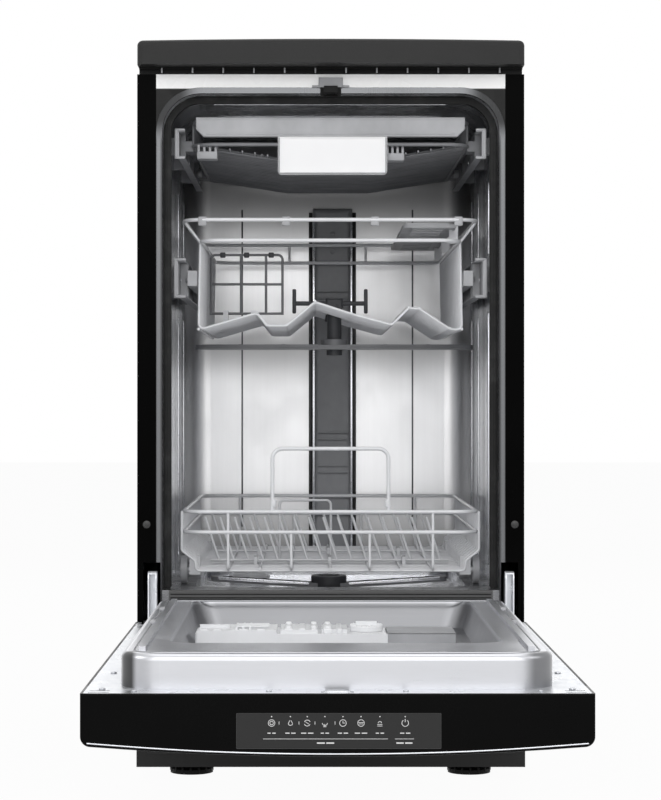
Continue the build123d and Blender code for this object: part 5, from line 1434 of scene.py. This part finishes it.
@dataclass
class TubInterior:
    """Beads pressed into the tub, the seals' lips, the duct's edges and the fixings of the rails."""

    wall: float = 195.2
    bead_places: tuple[float, ...] = (239.0, 417.0, 540.0)
    rear_beads: tuple[float, ...] = (-117.6, 117.6)
    roof_beads: tuple[float, ...] = (180.0, 300.0, 420.0, 520.0)
    peg_places: tuple[float, ...] = (160.0, 340.0, 520.0)
    bands: tuple[float, ...] = (342.5, 387.7, 580.7)
    body: str = "cabinet"

    def build(self) -> list[Piece]:
        """Builds the tub's own pieces."""
        return [*self._seal_lips(), self._wall_beads(), self._roof_beads(), self._rear_beads(),
                *self._duct(), self._rail_ends(), self._rail_hooks(), self._floor_ring(), self._sill_line()]

    def _arch(self, half: float, top: float, foot: float, y: float, corner: float) -> list[Triple]:
        """Points up one side of the mouth, over its round corners and down the other."""
        return [(-half, y, foot), (-half, y, (foot + top) / 2), (-half, y, top - corner), (-half, y, top),
                (-half + corner, y, top), (0.0, y, top), (half - corner, y, top), (half, y, top),
                (half, y, top - corner), (half, y, (foot + top) / 2), (half, y, foot)]

    def _seal_lips(self) -> list[Piece]:
        """The two lips of the door seal."""
        low, high = edges_of("door_gasket")
        outer = self._arch(self.wall - 3.0, high.z - 3.0, low.z + 2.0, low.y - 0.2, 34.0)
        inner = self._arch(self.wall - 8.6, high.z - 8.6, low.z + 2.0, low.y + 1.0, 30.0)
        return [bead("seal_outer_lip", outer, 1.5, self.body, SEAL_RUBBER),
                bead("seal_inner_lip", inner, 0.9, self.body, SEAL_RUBBER)]

    def _wall_beads(self) -> Piece:
        """Upright beads pressed into both side walls, in a paler steel than the walls, a painted highlight
        along each.
        """
        shape = Shape()
        for side in SIDES:
            for y in self.bead_places:
                for span in ((235.0, 545.0), (615.0, 705.0)):
                    shape.block(around(side * self.wall, 1.6), around(y, 5.0), span, 1.5, 3)
        return shape.piece("tub_wall_beads", self.body, BEAD_STEEL)

    def _roof_beads(self) -> Piece:
        """Beads across the tub's roof."""
        shape = Shape()
        for y in self.roof_beads:
            shape.block((-140.0, 140.0), around(y, 5.0), (790.8, 793.0), 1.0, 3)
        return shape.piece("tub_roof_beads", self.body, BEAD_STEEL)

    def _rear_beads(self) -> Piece:
        """Upright beads in the rear wall, beside the duct, in a darker copy of the steel as painted shade.
        """
        shape = Shape()
        for x in self.rear_beads:
            shape.block(around(x, 1.3), (605.9, 608.0), (262.0, 700.0), 0.8, 3)
        return shape.piece("rear_wall_beads", self.body, SHADE_STEEL)

    def _duct(self) -> list[Piece]:
        """Bright steel strips on the duct's edges as painted highlights, the dark joint beside them and the
        bands moulded across it.
        """
        low, high = edges_of("rear_duct")
        edges, joints, bands = Shape(), Shape(), Shape()
        for x, way in ((low.x, -1), (high.x, 1)):
            span = between(x + 0.2 * way, x - 2.6 * way)
            edges.block(span, (low.y - 0.5, low.y + 3.0), (low.z + 3.0, high.z - 12.0), 0.6, 2)
            span = between(x + 0.4 * way, x + 5.6 * way)
            joints.block(span, (605.8, 607.6), (low.z + 2.0, high.z - 4.0), 0.7, 2)
        for z in self.bands:
            for lift in (-4.6, 4.6):
                bands.block((low.x + 6.0, high.x - 6.0), (low.y - 0.7, low.y + 0.6), around(z + lift, 0.9),
                            0.5, 2)
        for z in (640.0, 664.0):
            bands.screw(((low.x + high.x) / 2, low.y, z), 3.2)
        return [edges.piece("duct_edge_highlights", self.body, BEAD_STEEL),
                joints.piece("duct_joint", self.body, DARK_TRIM),
                bands.piece("duct_bands", self.body, DUCT_PLASTIC)]

    def _rail_ends(self) -> Piece:
        """Light round lips at the front ends of the four rails."""
        shape = Shape()
        for node, inner, outer in (("upper_rails", 170.0, 180.0), ("cutlery_rails", 171.0, 179.0)):
            low, high = edges_of(node)
            lane = (low.y - 2.2, low.y + 3.0)
            for side in SIDES:
                across = between(side * (inner - 0.6), side * (outer + 3.6))
                back = between(side * (outer - 0.2), side * (outer + 3.8))
                shape.block(across, lane, (low.z - 2.4, low.z + 0.5), 1.1, 3)
                shape.block(across, lane, (high.z - 0.5, high.z + 2.4), 1.1, 3)
                shape.block(back, lane, (low.z - 2.0, high.z + 2.0), 1.1, 3)
        return shape.piece("rail_end_lips", self.body, TRAY_PLASTIC)

    def _rail_hooks(self) -> Piece:
        """The pegs that hold the rails to the tub's walls."""
        shape = Shape()
        for node, reach in (("upper_rails", 180.0), ("cutlery_rails", 179.0)):
            level = middle_of(node)[2]
            for side in SIDES:
                for y in self.peg_places:
                    shape.drum((side * (reach - 1.9), y, level), 4.0, 1.2, Axis.X, 18, bevel=0.3)
        return shape.piece("rail_pegs", self.body, BEAD_STEEL)

    def _floor_ring(self) -> Piece:
        """The two pressed rings round the drain."""
        shape = Shape().hoop((0.0, SPIN_Y, 186.2), 84.0, 1.4, Axis.Z, 48, 8)
        shape.hoop((0.0, SPIN_Y, 186.0), 77.0, 0.8, Axis.Z, 48, 6)
        return shape.piece("drain_rings", self.body, BEAD_STEEL)

    def _sill_line(self) -> Piece:
        """The two lips along the sill's seal, which the closed door presses on."""
        low, high = edges_of("sill_seal")
        shape = Shape()
        for z in (low.z + 2.5, low.z + 6.5):
            shape.block((low.x + 2.0, high.x - 2.0), (low.y - 0.6, low.y + 1.0), around(z, 0.7), 0.5, 2)
        return shape.piece("sill_seal_lips", self.body, SEAL_RUBBER)


@dataclass
class BaseGroup:
    """The machinery under the tub: ribs, screws, inner hoses and the rim of the water inlet."""

    rib_pitch: float = 11.0
    body: str = "cabinet"

    def build(self) -> list[Piece]:
        """Builds the base's own pieces."""
        return [self._pump_ribs(), self._pump_screws(), *self._hoses(), self._softener_ribs(),
                self._inlet()]

    def _pump_ribs(self) -> Piece:
        """Cooling ribs round the circulation pump and the drain pump."""
        shape = Shape()
        low, high = edges_of("circulation_pump")
        _, y, z = middle_of("circulation_pump")
        radius = (high.z - low.z) / 2
        for step in range(7):
            x = low.x + 26.0 + self.rib_pitch * step
            shape.hoop((x, y, z), radius - 0.3, 1.3, Axis.X, 36, 8)
        low, high = edges_of("drain_pump")
        x, _, z = middle_of("drain_pump")
        radius = (high.z - low.z) / 2
        for step in range(4):
            y = low.y + 12.0 + self.rib_pitch * step
            shape.hoop((x, y, z), radius - 0.3, 1.2, Axis.Y, 32, 8)
        return shape.piece("pump_ribs", self.body, DARK_PLASTIC)

    def _pump_screws(self) -> Piece:
        """Screws in the end of the circulation pump."""
        face = edges_of("circulation_pump")[1].x - 0.1
        _, across, level = middle_of("circulation_pump")
        shape = Shape()
        for _, y, z in circle(across, level, 22.0, 4, math.pi / 4):
            shape.screw((face, y, z), 3.0, Axis.X, 1)
        return shape.piece("pump_screws", self.body, SCREW_STEEL)

    def _hoses(self) -> list[Piece]:
        """The two inner hoses: one at the softener, one from the drain pump along the left."""
        feed = [(-79.0, 470.0, 130.0), (-66.0, 470.0, 130.0), (-58.0, 462.0, 132.0),
                (-58.0, 440.0, 134.0), (-50.0, 428.0, 136.0)]
        drain = [(-20.0, 204.0, 147.0), (-20.0, 190.0, 147.0), (-24.0, 174.0, 140.0),
                 (-60.0, 168.0, 128.0), (-120.0, 172.0, 122.0), (-160.0, 220.0, 120.0),
                 (-172.0, 300.0, 120.0), (-172.0, 396.0, 120.0)]
        return [bead("softener_hose", feed, 7.0, self.body, SEAL_RUBBER),
                bead("drain_hose_inside", drain, 8.0, self.body, DARK_PLASTIC)]

    def _softener_ribs(self) -> Piece:
        """Upright ribs on the softener's tank."""
        low, _ = edges_of("water_softener")
        shape = Shape()
        for step in range(6):
            y = low.y + 16.0 + 21.0 * step
            shape.block((low.x - 0.7, low.x + 1.0), around(y, 1.6), (low.z + 12.0, 150.0), 0.6, 2)
        return shape.piece("softener_ribs", self.body, WHITE_PLASTIC)

    def _inlet(self) -> Piece:
        """The rim of the water inlet at the back."""
        back = edges_of("inlet_valve")[1].y
        centre = (middle_of("inlet_valve")[0], back + 0.4, 72.0)
        shape = Shape().hoop(centre, 11.6, 0.6, Axis.Y, 36, 6)
        return shape.piece("inlet_rim", self.body, WHITE_PLASTIC)


@dataclass
class CutleryTray:
    """Slats, comb blocks and the bare plate's border of the top tray."""

    low_wire: float = 737.0
    half: float = 162.0
    sag: float = 17.0
    slats: int = 21
    cross_slats: tuple[float, ...] = (190.0, 270.0, 350.0, 430.0, 510.0)
    flat_half: float = 54.0
    teeth: int = 4
    body: str = "cutlery_tray"

    def build(self) -> list[Piece]:
        """Builds the tray's own pieces."""
        return [self._slats(), self._combs(), self._border(), self._bar_line(), self._sliders()]

    def _floor(self, x: float) -> float:
        """The height of the tray's floor at a place across it."""
        return self.low_wire - self.sag * min(1.0, (self.half - abs(x)) / (self.half * 2 / 3))

    def _slats(self) -> Piece:
        """Slim slats along the tray, on top of its cross wires, and taller ones across it; their paler
        plastic is a painted sheen.
        """
        low, high = edges_of("cutlery_tray")
        shape = Shape()
        for step in range(self.slats):
            x = -self.half + 14.0 + (2 * self.half - 28.0) * step / (self.slats - 1)
            level = self._floor(x) + 1.6
            shape.block(around(x, 0.9), (low.y + 10.0, high.y - 12.0), (level - 0.9, level + 1.7), 0.5, 1)
        for y in self.cross_slats:
            for side in SIDES:
                left, right = between(side * self.flat_half, side * 150.0)
                start, end = self._floor(left), self._floor(right)
                turn = Matrix.Rotation(math.atan2(start - end, right - left), 4, "Y")
                level = (start + end) / 2 + 3.0
                shape.block(around((left + right) / 2, 50.0), around(y, 1.2), (level - 1.0, level + 5.0),
                            0.6, 1, turn)
            shape.block((-self.flat_half, self.flat_half), around(y, 1.2), (721.0, 728.0), 0.6, 1)
        return shape.piece("tray_slats", self.body, SLAT_PLASTIC)

    def _combs(self) -> Piece:
        """The toothed blocks that hold handles upright at the tray's front."""
        front = edges_of("cutlery_tray")[0].y
        lane = (front + 6.0, front + 30.0)
        shape = Shape()
        for left, right, foot in ((-157.0, -133.0, 726.5), (65.0, 87.0, 724.5)):
            shape.block((left, right), lane, (foot - 6.0, foot + 3.0), 1.2, 2)
            for tooth in range(self.teeth):
                x = left + 2.0 + (right - left - 4.0) * tooth / (self.teeth - 1)
                shape.block(around(x, 1.5), lane, (foot + 2.0, foot + 11.0), 0.8, 2)
        return shape.piece("tray_combs", self.body, TRAY_PLASTIC)

    def _border(self) -> Piece:
        """The grey border round the bare plate."""
        low, high = edges_of("cutlery_tray_handle")
        left, right, foot = low.x + 1.2, high.x - 1.2, low.z + 1.2
        way = [(left, high.z - 0.8), (left, low.z + 5.0), (left, foot), (low.x + 5.0, foot),
               (high.x - 5.0, foot), (right, foot), (right, low.z + 5.0), (right, high.z - 0.8)]
        points = [(x, low.y + 0.3, z) for x, z in way]
        return bead("plate_border", points, 1.1, self.body, TRAY_PLASTIC)

    def _bar_line(self) -> Piece:
        """The rolled beads along the lower and the upper edge of the tray's front bar."""
        low, high = edges_of("cutlery_tray_front")
        shape = Shape()
        for inset, proud, height, radius in ((12.0, 0.5, (low.z + 2.4, low.z + 4.6), 0.7),
                                             (3.0, 0.4, (high.z - 3.4, high.z - 1.8), 0.6)):
            across = (low.x + inset, high.x - inset)
            shape.block(across, (low.y - proud, low.y + 1.2), height, radius, 3)
        return shape.piece("tray_bar_beads", self.body, TRAY_PLASTIC)

    def _sliders(self) -> Piece:
        """Small rollers on the tray's runners."""
        shape = Shape()
        for side in SIDES:
            for y in (150.0, 480.0):
                shape.drum((side * 170.5, y, 737.5), 5.0, 6.0, Axis.X, 20, bevel=0.8)
        return shape.piece("tray_rollers", self.body, GREY_PLASTIC)


@dataclass
class UpperRack:
    """Clips and small mouldings of the upper rack, its cup shelf and its glass holder."""

    rib_height: Range = (643.2, 646.2)
    rings: tuple[float, ...] = (390.0, 430.0, 470.0, 510.0, 550.0)
    body: str = "upper_rack"

    def build(self) -> list[Piece]:
        """Builds the upper rack's own pieces."""
        return [self._rim_clips(), self._runner_pins(), self._yoke(), self._shelf_ribs(),
                self._holder_tips(), self._tube_rings()]

    def _rim_clips(self) -> Piece:
        """Grey clips on the wires of the rack's front rim."""
        front = edges_of("upper_basket")[0].y
        shape = Shape()
        for x in (-150.0, -52.0, 52.0, 150.0):
            shape.block(around(x, 5.0), (front + 0.4, front + 4.6), (641.0, 652.0), 1.4, 2)
        return shape.piece("upper_rim_clips", self.body, GREY_PLASTIC)

    def _runner_pins(self) -> Piece:
        """Pins on the two side runners."""
        low, high = edges_of("upper_basket_runners")
        shape = Shape()
        for side in SIDES:
            for y in (low.y + 30.0, low.y + 130.0, low.y + 230.0, high.y - 60.0):
                shape.drum((side * (high.x - 7.5), y, 580.0), 5.0, 4.0, Axis.X, 20, bevel=0.8)
        return shape.piece("runner_pins", self.body, GREY_PLASTIC)

    def _yoke(self) -> Piece:
        """The dark yoke on the feed tube that carries the upper arm."""
        shape = Shape()
        shape.block((-44.0, 48.0), (342.0, 350.0), (557.0, 562.5), 1.6, 3)
        for x in (-44.0, 47.0):
            shape.block(around(x, 2.4), (341.0, 351.0), (547.0, 578.0), 1.6, 3)
        shape.drum((7.0, SPIN_Y, 560.0), 12.0, 12.0, Axis.Z, 32, tip=9.0, bevel=1.2)
        for step in range(4):
            turn = Matrix.Rotation(math.radians(45 + 90 * step), 4, "Z")
            shape.block((-8.0, 22.0), (348.8, 351.2), (556.0, 566.0), 0.7, 2, turn)
        return shape.piece("feed_yoke", self.body, DARK_PLASTIC)

    def _shelf_ribs(self) -> Piece:
        """Ribs and a raised rim on the folding cup shelf."""
        low, high = edges_of("cup_shelf")
        shape = Shape()
        for x in (low.x + 4.0, low.x + 30.0, high.x - 10.0):
            shape.block(around(x, 1.1), (low.y + 8.0, high.y - 8.0), self.rib_height, 0.6, 2)
        for y in (low.y + 6.0, high.y - 6.0):
            shape.block((low.x + 6.0, high.x - 9.0), around(y, 1.1), self.rib_height, 0.6, 2)
        return shape.piece("cup_shelf_ribs", "cup_shelf", GREY_PLASTIC)

    def _holder_tips(self) -> Piece:
        """Soft tips on the glass holder's wires."""
        top, y = edges_of("glass_holder")[1].z, middle_of("glass_holder")[1]
        shape = Shape()
        for x in (-134.0, -104.0, -73.0):
            shape.block(around(x, 3.4), around(y, 3.0), (top - 5.0, top + 1.6), 1.2, 2)
        return shape.piece("glass_holder_tips", "glass_holder", DARK_PLASTIC)

    def _tube_rings(self) -> Piece:
        """Rings moulded round the feed tube."""
        low, high = edges_of("upper_feed_tube")
        shape = Shape()
        for y in self.rings:
            shape.block((low.x - 0.8, high.x + 0.8), around(y, 1.5), (high.z - 20.8, high.z + 0.8), 1.2, 2)
        shape.hoop(((low.x + high.x) / 2, SPIN_Y, 499.0), 8.6, 1.2, Axis.Z, 28, 8)
        return shape.piece("feed_tube_rings", self.body, DARK_PLASTIC)


@dataclass
class LowerRack:
    """Wheel spokes, tine clips and the sleeves of the handle on the lower rack."""

    wheel_inner: float = 171.5
    wheel_outer: float = 178.5
    spokes: int = 5
    body: str = "lower_rack"

    def build(self) -> list[Piece]:
        """Builds the lower rack's own pieces."""
        return [self._spokes("front_wheels"), self._spokes("rear_wheels"), self._tine_clips(),
                self._sleeves()]

    def _spokes(self, name: str) -> Piece:
        """The ring and the spokes on both faces of two wheels, which roll with them."""
        _, y, z = middle_of(name)
        shape = Shape()
        for side in SIDES:
            for face in (self.wheel_inner - 0.2, self.wheel_outer - 0.5):
                x = side * (face + 0.3)
                shape.hoop((x, y, z), 11.6, 0.9, Axis.X, 28, 8)
                for angle, along, level in circle(y, z, 8.0, self.spokes):
                    turn = Matrix.Rotation(-angle, 4, "X").inverted()
                    shape.block(around(x, 0.5), around(along, 3.4), around(level, 0.9), 0.3, 1, turn)
        return shape.piece(f"{name}_spokes", name, GREY_PLASTIC)

    def _tine_clips(self) -> Piece:
        """Small clips at the ends of the bars that the tines fold on."""
        shape = Shape()
        for row in ("front_plate_tines", "rear_plate_tines"):
            y = middle_of(row)[1]
            for x in (-90.0, 0.0, 90.0):
                shape.block(around(x, 2.2), around(y, 3.4), (245.2, 247.4), 0.8, 2)
        return shape.piece("tine_bar_clips", self.body, GREY_PLASTIC)

    def _sleeves(self) -> Piece:
        """Nylon sleeves where the handle's hoop meets the rack's front."""
        front = edges_of("lower_basket")[0].y
        shape = Shape()
        for x in (-66.5, 66.5):
            shape.drum((x, front + 2.2, 316.0), 3.0, 9.0, Axis.Z, 20, bevel=0.8)
        return shape.piece("hoop_sleeves", self.body, COATED_WIRE)


@dataclass
class SprayArms:
    """Nozzles, hub caps and front-edge strips of the two spray arms: a join line on the upper, a painted
    highlight on the lower.
    """

    jets: tuple[float, ...] = (0.30, 0.47, 0.64, 0.81)
    jet_shift: float = 4.0

    def build(self) -> list[Piece]:
        """Builds both arms' own pieces."""
        return [*self._arm("upper_spray_arm", 7.0, 177.0, 507.0, 507.0, 17.0),
                *self._arm("lower_spray_arm", 0.0, 150.0, 205.0, 213.0, 22.0)]

    def _arm(self, name: str, x: float, reach: float, root: float, tip: float,
             hub: float) -> list[Piece]:
        """Dresses one arm.

        Args:
            name: The arm's body, which is also its node.
            x: Its middle from left to right.
            reach: How long a wing is.
            root: The height of its top at the hub.
            tip: The height of its top at the tip.
            hub: The hub's radius.

        Returns:
            Its nozzle rings, its hub cap and the strip along its front edge: a welded join where the arm is
            level, and bright steel where it rises, a painted highlight on its top edge.
        """
        wing, half_way = reach - hub, (root + tip) / 2
        rings, cap, edge = Shape(), Shape(), Shape()
        for side in SIDES:
            for place, part in enumerate(self.jets):
                across = x + side * (hub + wing * part)
                y = SPIN_Y + (self.jet_shift if place % 2 else -self.jet_shift)
                level = root + (tip - root) * part
                rings.hoop((across, y, level + 0.2), 2.7, 0.7, Axis.Z, 20, 6)
                rings.drum((across, y, level + 0.1), 1.5, 0.9, Axis.Z, 14, bevel=0.2)
            lean = Matrix.Rotation(-math.atan2(tip - root, wing) * side, 4, "Y")
            rings.block(around(x + side * (hub + wing * 0.5), wing * 0.78 / 2), around(SPIN_Y, 0.8),
                        (half_way - 0.6, half_way + 0.7), 0.4, 2, lean)
            # The front-edge strip: on the rising lower arm it is bright steel, a painted highlight on the
            # arm's top edge.
            narrow = Matrix.Rotation(5.0 / wing * side, 4, "Z")
            span = between(x + side * (hub + 3.0), x + side * (reach - 9.0))
            edge.block(span, (SPIN_Y - 15.6, SPIN_Y - 13.4), (half_way - 3.4, half_way + 0.5), 0.6, 2,
                       lean @ narrow)
        top = edges_of(name)[1].z
        if tip > root:
            cap.drum((x, SPIN_Y, top - 8.4), hub + 0.6, 15.6, Axis.Z, 40, bevel=1.4)
        cap.hoop((x, SPIN_Y, top - 0.1), hub * 0.62, 0.9, Axis.Z, 32, 8)
        for step in range(3):
            turn = Matrix.Rotation(math.radians(60 * step), 4, "Z")
            cap.block(around(x, hub * 0.9), around(SPIN_Y, 0.8), (top - 1.6, top + 0.1), 0.4, 2, turn)
        return [rings.piece(f"{name}_nozzles", name, DARK_PLASTIC),
                cap.piece(f"{name}_hub_cap", name, DARK_PLASTIC),
                edge.piece(f"{name}_seam", name, BEAD_STEEL if tip > root else ARM_PLASTIC)]


@dataclass
class WaterCaps:
    """The grip ribs of the salt cap and the rings and mesh of the filter."""

    filter_bars: int = 16

    def build(self) -> list[Piece]:
        """Builds the pieces of both screwed parts in the tub's floor."""
        return [self._salt_cap(), self._filter()]

    def _salt_cap(self) -> Piece:
        """Ribs round the salt cap and a ring on top."""
        x, y, _ = middle_of("salt_cap")
        shape = Shape().flutes((x, y, 200.4), 26.2, 24, 1.2, 3.4)
        shape.hoop((x, y, 202.0), 20.0, 0.8, Axis.Z, 36, 6)
        return shape.piece("salt_cap_grip", "salt_cap", WHITE_PLASTIC)

    def _filter(self) -> Piece:
        """The two rings on top of the filter and the bars between them."""
        middle, centre, _ = middle_of("drain_filter")
        shape = Shape().hoop((middle, centre, 186.0), 24.5, 0.9, Axis.Z, 36, 8)
        shape.hoop((middle, centre, 185.6), 17.0, 0.6, Axis.Z, 32, 6)
        for angle, x, y in circle(middle, centre, 20.8, self.filter_bars):
            turn = Matrix.Rotation(angle, 4, "Z")
            shape.block(around(x, 3.6), around(y, 0.5), (185.3, 186.3), 0.3, 1, turn)
        return shape.piece("filter_top_mesh", "drain_filter", MESH_PLASTIC)


ASSEMBLIES: tuple[type, ...] = (ControlPanel, DoorLiner, CabinetShell, TubInterior, BaseGroup,
                                CutleryTray, UpperRack, LowerRack, SprayArms, WaterCaps)


def main() -> None:
    """Builds the studio, dresses the CAD nodes and adds every sub-assembly's own pieces."""
    logging.basicConfig(level=logging.INFO, format="%(message)s")
    Studio().build()
    for finish, nodes in COVERINGS.items():
        finish.cover(*nodes)
    for assembly in ASSEMBLIES:
        for piece in assembly().build():
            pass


if __name__ == "__main__":
    main()
